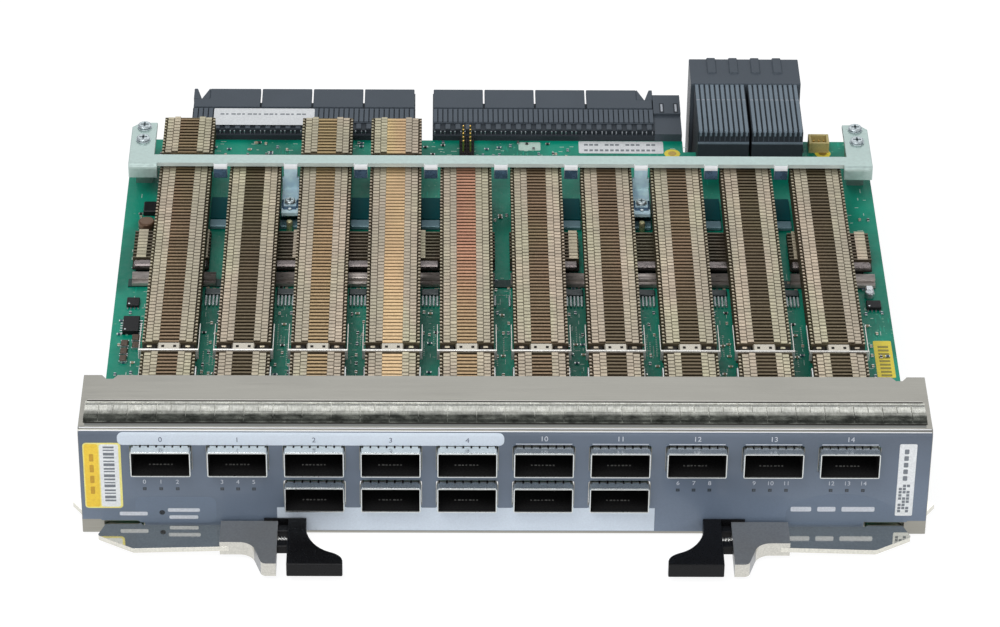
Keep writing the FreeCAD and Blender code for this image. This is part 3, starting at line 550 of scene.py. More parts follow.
class LINECARD_OT_stage(bpy.types.Operator):
    """Sets the floor, the lights and the camera"""

    bl_idname = "line_card.stage"
    bl_label = "Stage"

    def execute(self, context):
        scene = context.scene
        scene.view_settings.view_transform = "Standard"
        self.floor(scene)
        self.lights(scene)
        self.camera(scene)
        return {"FINISHED"}

    def floor(self, scene):
        bm = bmesh.new()
        bmesh.ops.create_grid(bm, x_segments=1, y_segments=1, size=4.0,
                              matrix=Matrix.Translation((0, 0, -0.0002)))
        mesh = bpy.data.meshes.new("floor")
        bm.to_mesh(mesh)
        bm.free()
        floor = bpy.data.objects.new("floor", mesh)
        scene.collection.objects.link(floor)
        material = bpy.data.materials.new("floor_white")
        material.use_nodes = True
        nodes, links = material.node_tree.nodes, material.node_tree.links
        nodes.clear()
        out = nodes.new("ShaderNodeOutputMaterial")
        mix = nodes.new("ShaderNodeMixShader")
        diffuse = nodes.new("ShaderNodeBsdfDiffuse")
        diffuse.inputs["Color"].default_value = (0.9, 0.9, 0.91, 1.0)
        glow = nodes.new("ShaderNodeEmission")
        glow.inputs["Strength"].default_value = 1.14
        path = nodes.new("ShaderNodeLightPath")
        seen = nodes.new("ShaderNodeMath")
        seen.operation = "MAXIMUM"
        links.new(path.outputs["Is Camera Ray"], seen.inputs[0])
        links.new(path.outputs["Is Glossy Ray"], seen.inputs[1])
        share = nodes.new("ShaderNodeMath")
        share.operation = "MULTIPLY"
        share.inputs[1].default_value = 0.8
        links.new(seen.outputs[0], share.inputs[0])
        links.new(share.outputs[0], mix.inputs[0])
        links.new(diffuse.outputs[0], mix.inputs[1])
        links.new(glow.outputs[0], mix.inputs[2])
        links.new(mix.outputs[0], out.inputs["Surface"])
        mesh.materials.append(material)

    def lights(self, scene):
        world = bpy.data.worlds.new("studio")
        world.use_nodes = True
        nodes, links = world.node_tree.nodes, world.node_tree.links
        ground = nodes["Background"]
        ground.inputs["Color"].default_value = (0.86, 0.89, 0.95, 1.0)
        ground.inputs["Strength"].default_value = 0.42
        plain_white = nodes.new("ShaderNodeBackground")
        plain_white.inputs["Strength"].default_value = 1.0
        path = nodes.new("ShaderNodeLightPath")
        mix = nodes.new("ShaderNodeMixShader")
        links.new(path.outputs["Is Camera Ray"], mix.inputs[0])
        links.new(ground.outputs[0], mix.inputs[1])
        links.new(plain_white.outputs[0], mix.inputs[2])
        links.new(mix.outputs[0], nodes["World Output"].inputs["Surface"])
        scene.world = world
        middle = Vector((0.0, 0.1, 0.02))
        lamps = (
            ("key_light", (-0.35, -0.55, 1.1), 0.9, 0.6, 6.5),
            ("fill_light", (0.9, -0.7, 0.7), 0.9, 0.9, 2.6),
            ("back_light", (0.1, 1.1, 1.0), 1.2, 0.6, 3.0),
            ("front_light", (0.0, -1.3, 0.35), 1.1, 0.35, 2.2),
        )
        for name, place, width, height, power in lamps:
            lamp = bpy.data.lights.new(name, "AREA")
            lamp.shape = "RECTANGLE"
            lamp.size = width
            lamp.size_y = height
            lamp.energy = power
            thing = bpy.data.objects.new(name, lamp)
            thing.location = place
            thing.rotation_euler = (middle - Vector(place)).to_track_quat("-Z", "Y").to_euler()
            scene.collection.objects.link(thing)

    def camera(self, scene):
        eye = bpy.data.cameras.new("camera")
        eye.lens = 152.38
        eye.sensor_width = 36.0
        eye.sensor_fit = "HORIZONTAL"
        eye.clip_end = 20.0
        thing = bpy.data.objects.new("camera", eye)
        tilt, yaw, roll = math.radians(34.473), math.radians(0.976), math.radians(-0.732)
        ahead = Vector((math.sin(yaw) * math.cos(tilt), math.cos(yaw) * math.cos(tilt),
                        -math.sin(tilt)))
        level = Vector((math.cos(yaw), -math.sin(yaw), 0.0))
        down = ahead.cross(level)
        right = level * math.cos(roll) + down * math.sin(roll)
        under = down * math.cos(roll) - level * math.sin(roll)
        turned = Matrix((right, -under, -ahead)).transposed().to_4x4()
        thing.matrix_world = Matrix.Translation((-0.02138, -1.12091, 0.85317)) @ turned
        scene.collection.objects.link(thing)
        scene.camera = thing


# Faceplate --------------------------------------------------------------------------


class LINECARD_OT_faceplate(bpy.types.Operator):
    """Finishes the bent faceplate and lays the printed film on its front"""

    bl_idname = "line_card.faceplate"
    bl_label = "Faceplate and film"

    def execute(self, context):
        painted("faceplate", bare_sheet())
        film = sizes().film / MM
        front = FACE_LOW.y - film
        self.film(front, film)
        self.fields(front)
        self.figures(front)
        self.labels(front)
        return {"FINISHED"}

    def film(self, front, film):
        slit_in, slit_out, low, high = 118.6, 132.7, 1.9, FACE_HIGH.z - 0.6
        side, corner, slit = HALF_FACE - 0.15, 6.4, 5.9
        outline = [(-side, high), (side, high), (side, corner), (slit_out + 0.4, corner),
                   (slit_out, slit), (slit_in, slit), (slit_in, low), (-slit_in, low),
                   (-slit_in, slit), (-slit_out, slit), (-slit_out - 0.4, corner), (-side, corner)]
        holes = []
        for number in PORTS_UP + PORTS_DOWN:
            x, z = port_x(number), port_z(number)
            holes.append(rounded(x - 10.25, x + 10.25, z - 5.5, z + 5.6, 1.2, 3))
        bm = bmesh.new()
        face_plate(bm, outline, front, film - 0.01, 0, holes)
        over_bend(bm)
        slate = tuple(colours().slate) + (1.0,)
        film_coat = film_finish(slate)
        finished("face_film", bm, [film_coat])
        # A thin near-white strip laid over the top bend: a painted highlight.
        bm = bmesh.new()
        level = FACE_HIGH.z - 0.6
        outline = [(-side + 0.2, level), (side - 0.2, level), (side - 0.2, level + 1.4),
                   (-side + 0.2, level + 1.4)]
        face_plate(bm, outline, front + 0.04, 0.03, 0)
        over_bend(bm)
        polish = brushed("bend_painted_highlight", tone(250, 252, 252), "x", (0.3, 0.42), 0.05)
        finished("bend_painted_highlight_strip", bm, [polish])

    def fields(self, front):
        """Light fields over and under the ports, and two faint matt patches."""
        film = 0.05
        bm = bmesh.new()
        top = ROW_Z + 5.3
        face_plate(bm, rounded(-126.5, -0.5, top, top + 4.9, 1.8), front - film, film + 0.01)
        over_bend(bm)
        low = ROW_Z - 29.3
        high = ROW_Z - 20.0
        outline = [(-75.0, low), (49.4, low), (49.4, high)]
        for number in reversed(PORTS_DOWN):
            x, notch = port_x(number), port_z(number) - 5.5
            outline += [(x + 10.25, high), (x + 10.25, notch), (x - 10.25, notch), (x - 10.25, high)]
        outline.append((-75.0, high))
        face_plate(bm, outline, front - film, film + 0.01)
        lavender = tuple(colours().lavender) + (1.0,)
        coat = grained("face_fields", lavender, 0.0, (0.4, 0.55), (1800, 1800, 1800), (0.96, 1.04),
                       0.000004, (20, 20, 40), shade(lavender, 1.12), 0.4)
        finished("face_fields", bm, [coat])
        bm = bmesh.new()
        face_plate(bm, rounded(-121.5, -95.0, ROW_Z - 26.4, ROW_Z - 15.8, 2.5), front - 0.03, 0.035)
        arc = [(92.5, ROW_Z - 25.4), (128.5, ROW_Z - 25.4), (128.5, ROW_Z - 19.0)]
        for i in range(13):
            turn = math.radians(15 + 150 * i / 12)
            arc.append((110.6 + 18.5 * math.cos(turn), ROW_Z - 23.4 + 9.4 * math.sin(turn)))
        face_plate(bm, arc, front - 0.03, 0.035)
        slate = tuple(colours().slate) + (1.0,)
        matt = grained("face_matt", shade(slate, 1.12), 0.0, (0.5, 0.65), (1800, 1800, 1800),
                       (0.96, 1.05), 0.000004, (30, 30, 60), shade(slate, 1.3), 0.35)
        finished("face_patches", bm, [matt])

    def figures(self, front):
        """Port and lane numbers, their windows, and plain bars in place of words."""
        bm = bmesh.new()
        ink = front - 0.08
        for number in PORTS_UP:
            level = ROW_Z + (7.4 if number < 5 else 8.1)
            lettering(bm, str(number), 2.7, port_x(number), ink, level, 0.03, 1 if number < 5 else 0)
        for number in (10, 11, 12, 13, 14):
            x = port_x(number)
            box(bm, x - 9.2, x + 9.2, front - 0.02, front + 0.01, ROW_Z + 5.9, ROW_Z + 6.2, 0)
        over_bend(bm)
        groups = ((0, -112.8, 5.4), (3, -87.6, 5.2), (6, 61.9, 5.2), (9, 87.0, 5.3), (12, 112.3, 5.3))
        for first, middle, step in groups:
            for i in range(3):
                x = middle + (i - 1) * step
                lettering(bm, str(first + i), 2.3, x, front - 0.02, ROW_Z - 9.7, 0.03, 0)
                box(bm, x - 0.6, x + 0.6, front - 0.04, front + 0.02, ROW_Z - 13.1, ROW_Z - 11.9, 2, 0.03)
                box(bm, x - 0.3, x + 0.3, front - 0.06, front, ROW_Z - 12.8, ROW_Z - 12.2, 3)
        bars = ((-126.8, -117.6, -22.7, 1.5), (-110.9, -100.4, -21.2, 1.4), (-110.5, -101.0, -24.1, 1.4),
                (94.2, 101.0, -20.2, 1.9), (103.0, 109.0, -20.2, 1.9), (111.0, 121.9, -20.2, 1.9))
        for x0, x1, z, height in bars:
            face_plate(bm, rounded(x0, x1, ROW_Z + z - height / 2, ROW_Z + z + height / 2, 0.4, 2),
                       front - 0.06, 0.03, 0)
        cylinder(bm, 0.95, (-112.8, front, ROW_Z - 22.2), -0.05, 2, 24, "y")
        inks = [white_ink(), plain("ink_grey", tone(96, 104, 124), 0.6),
                plain("window_dark", tone(44, 48, 56), 0.3), plain("window_lens", tone(80, 90, 98), 0.2)]
        finished("face_figures", bm, inks)

    def labels(self, front):
        """Two stuck-on labels with plain fields and bars."""
        z = ROW_Z
        bm = bmesh.new()
        face_plate(bm, rounded(-137.9, -125.5, z - 20.4, z + 6.1, 1.2), front - 0.06, 0.06, 0)
        face_plate(bm, rounded(-137.5, -132.9, z - 19.9, z + 5.6, 0.9), front - 0.1, 0.04, 1)
        face_plate(bm, rounded(-132.5, -126.3, z - 19.8, z + 5.5, 0.7), front - 0.1, 0.04, 2)
        level = z - 17.6
        for i in range(16):
            height = (0.7, 1.1, 0.5)[i % 3]
            box(bm, -131.3, -127.7, front - 0.125, front - 0.09, level, level + height, 3)
            level += height + (0.5, 0.75, 0.6, 0.9)[i % 4]
        for i in range(4):
            face_plate(bm, rounded(-135.9, -134.5, z - 14.6 + i * 4.4, z - 11.6 + i * 4.4, 0.3, 2),
                       front - 0.12, 0.03, 4)
        face_plate(bm, rounded(128.7, 134.4, z - 22.8, z + 6.4, 0.5), front - 0.06, 0.06, 2)
        for i in range(5):
            low = z - 8.4 + i * 2.7
            face_plate(bm, rounded(130.4, 131.9, low, low + 1.9, 0.3, 2), front - 0.08, 0.03, 3)
        for row in range(9):
            for column in range(3):
                if (row * 2 + column) % 5 != 1:
                    x, low = 129.4 + column * 1.3, z - 21.4 + row * 1.3
                    box(bm, x, x + 1.0, front - 0.085, front - 0.055, low, low + 1.0, 3)
        coats = [plain("label_cream", tone(250, 236, 142), 0.5),
                 plain("label_yellow", tone(255, 212, 68), 0.5),
                 plain("label_white", tone(238, 240, 240), 0.5),
                 plain("label_grey", tone(122, 128, 134), 0.55),
                 plain("label_ink", tone(206, 160, 50), 0.55)]
        finished("face_labels", bm, coats)


class LINECARD_OT_strip(bpy.types.Operator):
    """Builds the spring finger strip on the top flange"""

    bl_idname = "line_card.strip"
    bl_label = "Finger strip"

    def execute(self, context):
        low, high = span("emi_strip")
        pitch = sizes().finger_pitch / MM
        deck, top = low.z, high.z
        bm = bmesh.new()
        box(bm, low.x, high.x, low.y + 0.2, high.y - 0.3, deck, deck + 0.22, 0)
        slab(bm, [(low.x, high.y, deck), (low.x, high.y - 0.5, deck + 0.5),
                  (low.x, high.y - 1.2, deck + 0.5), (low.x, high.y - 1.4, deck)],
             (high.x - low.x, 0, 0), 0)
        rear = [(high.y - 1.2, deck + 0.2), (high.y - 1.7, deck + 0.62), (high.y - 3.2, top - 0.06),
                (high.y - 6.6, top), (high.y - 6.6, top - 0.4)]
        lead = [(high.y - 6.7, top - 0.4), (high.y - 6.7, top - 0.04), (low.y + 3.6, top - 0.1),
                (low.y + 1.6, deck + 0.62), (low.y + 0.4, deck + 0.1), (low.y + 1.0, deck + 0.1)]
        gap = 0.34
        count = int(high.x / pitch) + 1
        for i in range(-count - 1, count + 1):
            x0, x1 = max(low.x, i * pitch + gap / 2), min(high.x, (i + 1) * pitch - gap / 2)
            if x1 - x0 > 0.5:
                slab(bm, [(x0, y, z) for y, z in rear], (x1 - x0, 0, 0), 0)
            x0, x1 = max(low.x, i * pitch + gap / 2), min(high.x, (i + 2) * pitch - gap / 2)
            if i % 2 == 0 and x1 - x0 > 0.5:
                slab(bm, [(x0, y, z) for y, z in lead], (x1 - x0, 0, 0), 0)
        finished("finger_strip", bm, [strip_finish()], nodes=("emi_strip",))
        # Painted light round the strip: dark plates as painted shadow in the gaps at its edges, a light line
        # behind it as a painted highlight, and painted shade on the flange before it.
        bm = bmesh.new()
        box(bm, low.x + 0.5, high.x - 0.5, high.y + 0.3, high.y + 0.8, deck, deck + 0.06, 0)
        box(bm, low.x + 0.5, high.x - 0.5, low.y - 0.4, low.y + 0.2, deck, deck + 0.06, 0)
        box(bm, low.x + 0.5, high.x - 0.5, high.y + 1.0, high.y + 1.3, deck, deck + 0.05, 1)
        box(bm, low.x + 0.5, high.x - 0.5, low.y - 1.5, low.y - 0.4, deck, deck + 0.04, 2)
        coats = [plain("gap_painted_shadow", tone(50, 47, 42), 0.7),
                 plain("edge_painted_highlight", tone(206, 203, 196), 0.35, 0.6),
                 plain("gap_shade", tone(132, 134, 130), 0.5, 0.6)]
        finished("strip_painted_light", bm, coats)
        return {"FINISHED"}


# Ports ------------------------------------------------------------------------------


class LINECARD_OT_cages(bpy.types.Operator):
    """Builds the optics cages with their spring fingers, painted shade inside and painted glints before the
    host connectors
    """

    bl_idname = "line_card.cages"
    bl_label = "Optics cages"

    def execute(self, context):
        metal = plain("cage_metal", tone(226, 230, 228), 0.32, 0.9)
        spring = plain("cage_spring", tone(232, 236, 234), 0.22, 0.95)
        # Near-black painted shade for the inside of each cage and under its fingers.
        inside = plain("cage_inside_painted_shade", tone(10, 9, 10), 0.8)
        for number in PORTS_UP + PORTS_DOWN:
            self.cage(number, [metal, spring, inside])
        painted("port_connectors", plastic("host_plastic", tone(14, 14, 15), 0.6))
        self.contacts()
        return {"FINISHED"}

    def cage(self, number, metals):
        node = "port_cage_%02d" % number
        low, high = span(node)
        x, z = port_x(number), port_z(number)
        half = CAGE_HEIGHT / 2
        bm = bmesh.new()
        box(bm, x - CAGE_HALF, x + CAGE_HALF, low.y, high.y, z - half, z + half)
        rims = [e for e in bm.edges if abs(e.verts[0].co.y - e.verts[1].co.y) > 1]
        bmesh.ops.bevel(bm, geom=rims, offset=0.5, affect="EDGES", segments=3, profile=0.5,
                        material=-1)
        mouth = [f for f in bm.faces if f.normal.y < -0.9]
        bmesh.ops.inset_region(bm, faces=mouth, thickness=0.3, depth=0.0)
        mouth = [f for f in bm.faces if f.normal.y < -0.9 and len(f.verts) > 4]
        moved = bmesh.ops.extrude_discrete_faces(bm, faces=mouth)["faces"]
        verts = list({v for f in moved for v in f.verts})
        bmesh.ops.translate(bm, vec=(0, 0.5, 0), verts=verts)
        moved = bmesh.ops.extrude_discrete_faces(bm, faces=moved)["faces"]
        verts = list({v for f in moved for v in f.verts})
        bmesh.ops.translate(bm, vec=(0, high.y - low.y - 1.6, 0), verts=verts)
        # The inner walls take the painted shade.
        inner = {f for v in verts for f in v.link_faces}
        for face in inner:
            face.material_index = 2
        foot = (z - half - CAGE_FOOT, z - half) if number in PORTS_UP else (z + half, z + half + CAGE_FOOT)
        box(bm, x - 9.0, x - 7.5, back(5), high.y - 1, foot[0], foot[1])
        box(bm, x + 7.5, x + 9.0, back(5), high.y - 1, foot[0], foot[1])
        self.fingers(bm, x, z, half, low.y)
        finished(node + "_shell", bm, metals, nodes=(node,))

    def fingers(self, bm, x, z, half, nose):
        """Spring fingers round the nose: a band with tongues that reach the sheet."""
        count = 7
        pitch = 2 * (CAGE_HALF - 0.5) / count
        sheet = FACE_LOW.y
        for side in (1, -1):
            level = z + side * half
            band = [(nose + 0.25, level), (nose + 0.35, level + side * 0.12),
                    (sheet - 1.3, level + side * 0.28), (sheet - 1.3, level)]
            slab(bm, [(x - CAGE_HALF + 0.4, y, h) for y, h in band], (2 * CAGE_HALF - 0.8, 0, 0), 1)
            tongue = [(sheet - 1.3, level), (sheet - 1.3, level + side * 0.28),
                      (sheet - 0.2, level + side * 0.3), (sheet + 1.0, level + side * 0.05),
                      (sheet + 1.0, level)]
            for i in range(count):
                start = x + (i - count / 2) * pitch + 0.3
                slab(bm, [(start, y, h) for y, h in tongue], (pitch - 0.6, 0, 0), 1)
            # A dark plate under the tongues: painted shade.
            floor = sorted((level, level + side * 0.05))
            box(bm, x - CAGE_HALF + 0.5, x + CAGE_HALF - 0.5, sheet - 1.3, sheet + 0.8, *floor, 2)
        for side in (1, -1):
            level = x + side * CAGE_HALF
            for row in (-1, 0, 1):
                low = z + row * 2.8 - 1.1
                tongue = [(nose + 0.8, level), (nose + 1.1, level + side * 0.16),
                          (nose + 3.2, level + side * 0.3), (nose + 5.0, level + side * 0.05),
                          (nose + 5.0, level)]
                slab(bm, [(h, y, low) for y, h in tongue], (0, 0, 2.2), 1)

    def contacts(self):
        """Short light dashes on the floor of each cage, painted glints seen deep in the cages, and the
        fronts of the host connectors.
        """
        bm = bmesh.new()
        for number in PORTS_UP + PORTS_DOWN:
            x, z = port_x(number), port_z(number)
            mouth = span("port_cage_%02d" % number)[0].y
            # Painted glints: light dashes on the cage floor.
            for i in range(7):
                start = x - 4.1 + i * 1.2
                box(bm, start, start + (0.5, 0.8, 0.6)[i % 3], mouth + 6.1, mouth + 6.5, z - 4.4, z - 4.2, 0)
            box(bm, x - 8.0, x + 8.0, back(32.9), back(33.35), z - 4.2, z - 0.4, 1, 0.1)
        coats = [plain("floor_painted_glint", tone(138, 138, 134), 0.5),
                 plastic("host_front", tone(26, 24, 24), 0.5)]
        finished("port_glints_and_host_fronts", bm, coats)


# Heat sinks -------------------------------------------------------------------------


TARNISH = {
    "umber": tone(112, 98, 74), "bronze": tone(150, 126, 98), "brass": tone(192, 164, 122),
    "copper": tone(214, 158, 128), "straw": tone(236, 202, 154),
}
REAR_TARNISH = {0: "bronze", 2: "brass", 3: "straw", 4: "copper", 10: "bronze", 11: "bronze",
                12: "bronze"}
FRONT_TARNISH = {0: "bronze", 2: "brass", 3: "straw", 4: "brass", 10: "bronze"}


def fin_row(bm, x, start, end, low, high, width, centre, pitch, cover=0.5):
    """Folded fins in a row: sheets, their staggered top tabs, edge teeth and open centre."""
    count = int(round((end - start) / pitch))
    x0, x1 = x - width / 2, x + width / 2
    # A near-black block inside the fins, seen through their gaps: painted shade.
    box(bm, x0 + 1.0, x1 - 1.0, start, end - 0.5, low, high - 2.2, 2)
    box(bm, x0, x1, end - 0.32, end, low, high - 0.5, 3)
    for side in (-1, 1):
        a, b = sorted((x + side * (centre + 0.5), x + side * (width / 2 - 1.4)))
        box(bm, a, b, start + 0.2, end - 0.4, high - 1.1, high - 0.62, 3)
    for i in range(count):
        y = start + i * pitch
        box(bm, x0, x1, y, y + 0.32, low, high - 0.5, 3)
        for side in (-1, 1):
            rim = x + side * width / 2
            outer = rim - side * 1.25
            inner = x + side * (centre + 0.35)
            middle = (outer + inner) / 2
            for near, far, shift in ((outer, middle + side * 0.12, 0.0), (middle - side * 0.12, inner, 0.7)):
                a, b = sorted((near, far))
                y0 = min(y + shift, end - pitch * 0.76)
                box(bm, a, b, y0, y0 + pitch * 0.76, high - 0.36, high - (0.0 if shift else 0.07), 0)
            a, b = sorted((rim, rim - side * 0.75))
            box(bm, a, b, y + 0.3, y + 0.95, high - 1.0, high - 0.45, 0)
        box(bm, x - centre - 0.3, x + centre + 0.3, y, y + pitch * cover, high - 0.7, high - 0.2, 1)


class LINECARD_OT_port_sinks(bpy.types.Operator):
    """Builds the fin stacks over the ports, with clip frame and heat pipe"""

    bl_idname = "line_card.port_sinks"
    bl_label = "Port heat sinks"

    def execute(self, context):
        pitch = sizes().fin_pitch / MM
        nickel = tuple(colours().nickel) + (1.0,)
        fins = fin_finish("sink_metal", nickel, shade(nickel, 0.7))
        # Near-black painted shade for the fin cores, the pipe's dimples and the low plates beside the pipe.
        core = plain("sink_core_painted_shade", tone(30, 25, 18), 0.8)
        under = fin_finish("fin_shade", tone(124, 112, 92), tone(92, 80, 64))
        clip = plain("sink_clip", tone(222, 220, 214), 0.3, 0.6)
        pipe = plain("pipe_bright", tone(192, 186, 172), 0.3, 0.7)
        for number in PORTS_UP + PORTS_DOWN:
            rear, front = REAR_TARNISH.get(number, "umber"), FRONT_TARNISH.get(number, "umber")
            tint = fin_finish("sink_centre_%s_%s" % (rear, front), TARNISH[rear],
                              shade(TARNISH[rear], 0.72), TARNISH[front])
            cover = {3: 0.68, 2: 0.52, 4: 0.56}.get(number, 0.46)
            self.sink(number, [fins, tint, core, under, clip, pipe], pitch, cover)
        return {"FINISHED"}

    def sink(self, number, metals, pitch, cover):
        node = "heat_sink_%02d" % number
        low, high = span(node)
        bm = bmesh.new()
        x = (low.x + high.x) / 2
        width, centre = FIN_WIDTH, FIN_CENTRE
        top, rear_low = high.z, PLATE + 5.55
        if number in PORTS_DOWN:
            top = PLATE + BOARD_LOW.z - low.z
        cage_top = port_z(0) + CAGE_HEIGHT / 2
        fin_row(bm, x, *map(back, FRONT_STACK), cage_top, top, width, centre, pitch, cover)
        fin_row(bm, x, *map(back, REAR_STACK), rear_low, top, width, centre, pitch, cover)
        if high.y > back(180):
            fin_row(bm, x, *map(back, TAIL_STACK), rear_low, top, width, centre, pitch, cover)
            box(bm, x - 6.0, x + 6.0, back(REAR_STACK[1]), back(TAIL_STACK[0]),
                top - 3.2, top - 1.6, 5, 0.4)
        self.gap(bm, x, top, cage_top)
        if number in PORTS_DOWN:
            middle = (BOARD_HIGH.z + BOARD_LOW.z) / 2
            bmesh.ops.scale(bm, vec=(1, 1, -1), verts=bm.verts,
                            space=Matrix.Translation((0, 0, -middle)))
            bmesh.ops.reverse_faces(bm, faces=bm.faces)
        finished(node + "_fins", bm, metals, nodes=(node,))

    def gap(self, bm, x, top, cage_top):
        """Clip frame, flat pipe with its dimples, and side rails."""
        box(bm, x - 10.1, x + 10.1, back(49.1), back(49.8), cage_top, top + 0.1, 4, 0.12)
        box(bm, x - 3.9, x + 3.9, back(49.9), back(54.2), top - 3.0, top - 0.35, 5, 0.45)
        for side in (-1, 1):
            # Dark dimples on the pipe: painted shade.
            box(bm, x + side * 2.0 - 0.5, x + side * 2.0 + 0.5, back(51.2), back(52.4),
                top - 0.4, top - 0.28, 2)
            a, b = sorted((x + side * 4.3, x + side * 8.6))
            box(bm, a, b, back(50.1), back(54.1), top - 3.2, top - 1.2, 2, 0.3)
            box(bm, a + 0.5, b - 0.8, back(50.5), back(51.3), top - 1.3, top - 0.8, 3, 0.2)
            box(bm, a + 1.1, b - 1.4, back(52.3), back(53.3), top - 1.3, top - 0.9, 0, 0.2)
            a, b = sorted((x + side * 9.75, x + side * 10.1))
            box(bm, a, b, back(49.5), back(66), top - 1.6, top - 0.9, 4, 0.1)


class LINECARD_OT_chip_sinks(bpy.types.Operator):
    """Builds the low fin stacks on the switching chips and the pipe before them"""

    bl_idname = "line_card.chip_sinks"
    bl_label = "Chip heat sinks"

    def execute(self, context):
        nickel = tuple(colours().nickel) + (1.0,)
        fins = fin_finish("sink_metal", nickel, shade(nickel, 0.7))
        dark = fin_finish("chip_fins", tone(112, 102, 84), tone(60, 54, 44))
        # Near-black painted shade, as on the port sinks.
        core = plain("sink_core_painted_shade", tone(30, 25, 18), 0.8)
        foil = grained("foil_metal", tone(132, 124, 122), 0.8, (0.2, 0.45), (700, 700, 700), (0.5, 1.35),
                       0.0001, (300, 300, 300), tone(96, 84, 84), 0.6)
        bands = {
            "chip_sink_left": ((-129.0, -102.3, (-127.7, -124.4), (-105.8, -102.9)),),
            "chip_sink_middle_left": ((-80.5, -68.6, (-73.2, -70.0)), (-67.6, -33.6),
                                      (-32.6, -21.5, (-30.4, -26.8))),
            "chip_sink_middle": ((-7.0, -2.4), (2.8, 27.0, (4.4, 6.8), (23.6, 26.6))),
            "chip_sink_middle_right": ((32.0, 64.6), (65.6, 92.0)),
            "chip_sink_right": ((100.8, 129.5, (102.4, 105.4), (124.6, 128.2)),),
        }
        for node, parts in bands.items():
            low, high = span(node)
            self.stack(node, low, high, parts, [dark, fins, core, foil])
        self.rail()
        return {"FINISHED"}

    def stack(self, node, low, high, parts, metals):
        """Fins of one low sink in parts, each with its light bands, behind a foil block."""
        pitch = sizes().fin_pitch / MM
        bm = bmesh.new()
        foot, top = low.z, high.z
        near = low.y + 3.8
        for x0, x1, *bands in parts:
            # A dark base under the fins: painted shade.
            box(bm, x0, x1, low.y + 0.1, high.y, foot, foot + 0.9, 2, 0.2)
            box(bm, x0 + 0.6, x1 - 0.6, near + 0.4, high.y - 0.4, foot + 0.9, foot + 1.6, 2)
            box(bm, x0 + 0.5, x1 - 0.5, low.y, near - 0.3, foot + 0.4, top - 0.7, 3, 0.5)
            for i in range(int((high.y - near) / pitch)):
                y = near + i * pitch
                box(bm, x0, x1, y, y + 0.35, foot + 0.9, top - 0.3, 0)
                box(bm, x0, x1, y, y + 0.8, top - 0.4, top - 0.12, 0)
                for a, b in bands:
                    box(bm, a, b, y, y + pitch * 0.84, top - 0.3, top, 1)
        finished(node + "_fins", bm, metals, nodes=(node,))

    def rail(self):
        """Bright pipe lengths across the card, joined by a low strip in painted shade, dark as the shaded
        board.
        """
        low, high = span("sink_rail")
        bm = bmesh.new()
        box(bm, low.x, high.x, low.y + 1.0, high.y - 1.0, low.z, low.z + 0.5, 1)
        for start, end in ((low.x + 1.4, -99.6), (-95.4, -2.6), (3.0, 93.4), (100.6, high.x)):
            profile = rounded(low.y + 2.6, high.y, low.z + 0.3, high.z, 1.3, 5)
            slab(bm, [(start, y, z) for y, z in profile], (end - start, 0, 0), 0, 0.0)
            profile = rounded(low.y + 1.0, low.y + 2.7, low.z, high.z - 1.3, 0.6, 5)
            slab(bm, [(start, y, z) for y, z in profile], (end - start, 0, 0), 0, 0.0)
        for face in bm.faces:
            face.smooth = face.material_index == 0 and abs(face.normal.x) < 0.5
        pipe = grained("pipe_metal", tone(196, 186, 178), 0.55, (0.24, 0.4), (300, 900, 900), (0.7, 1.15),
                       0.00004, (60, 200, 200), tone(120, 108, 104), 0.5)
        # The low strip is painted shade.
        strip = plain("pipe_strip_painted_shade", tone(20, 62, 56), 0.5)
        finished("cross_pipe", bm, [pipe, strip], nodes=("sink_rail",))


# Board ------------------------------------------------------------------------------


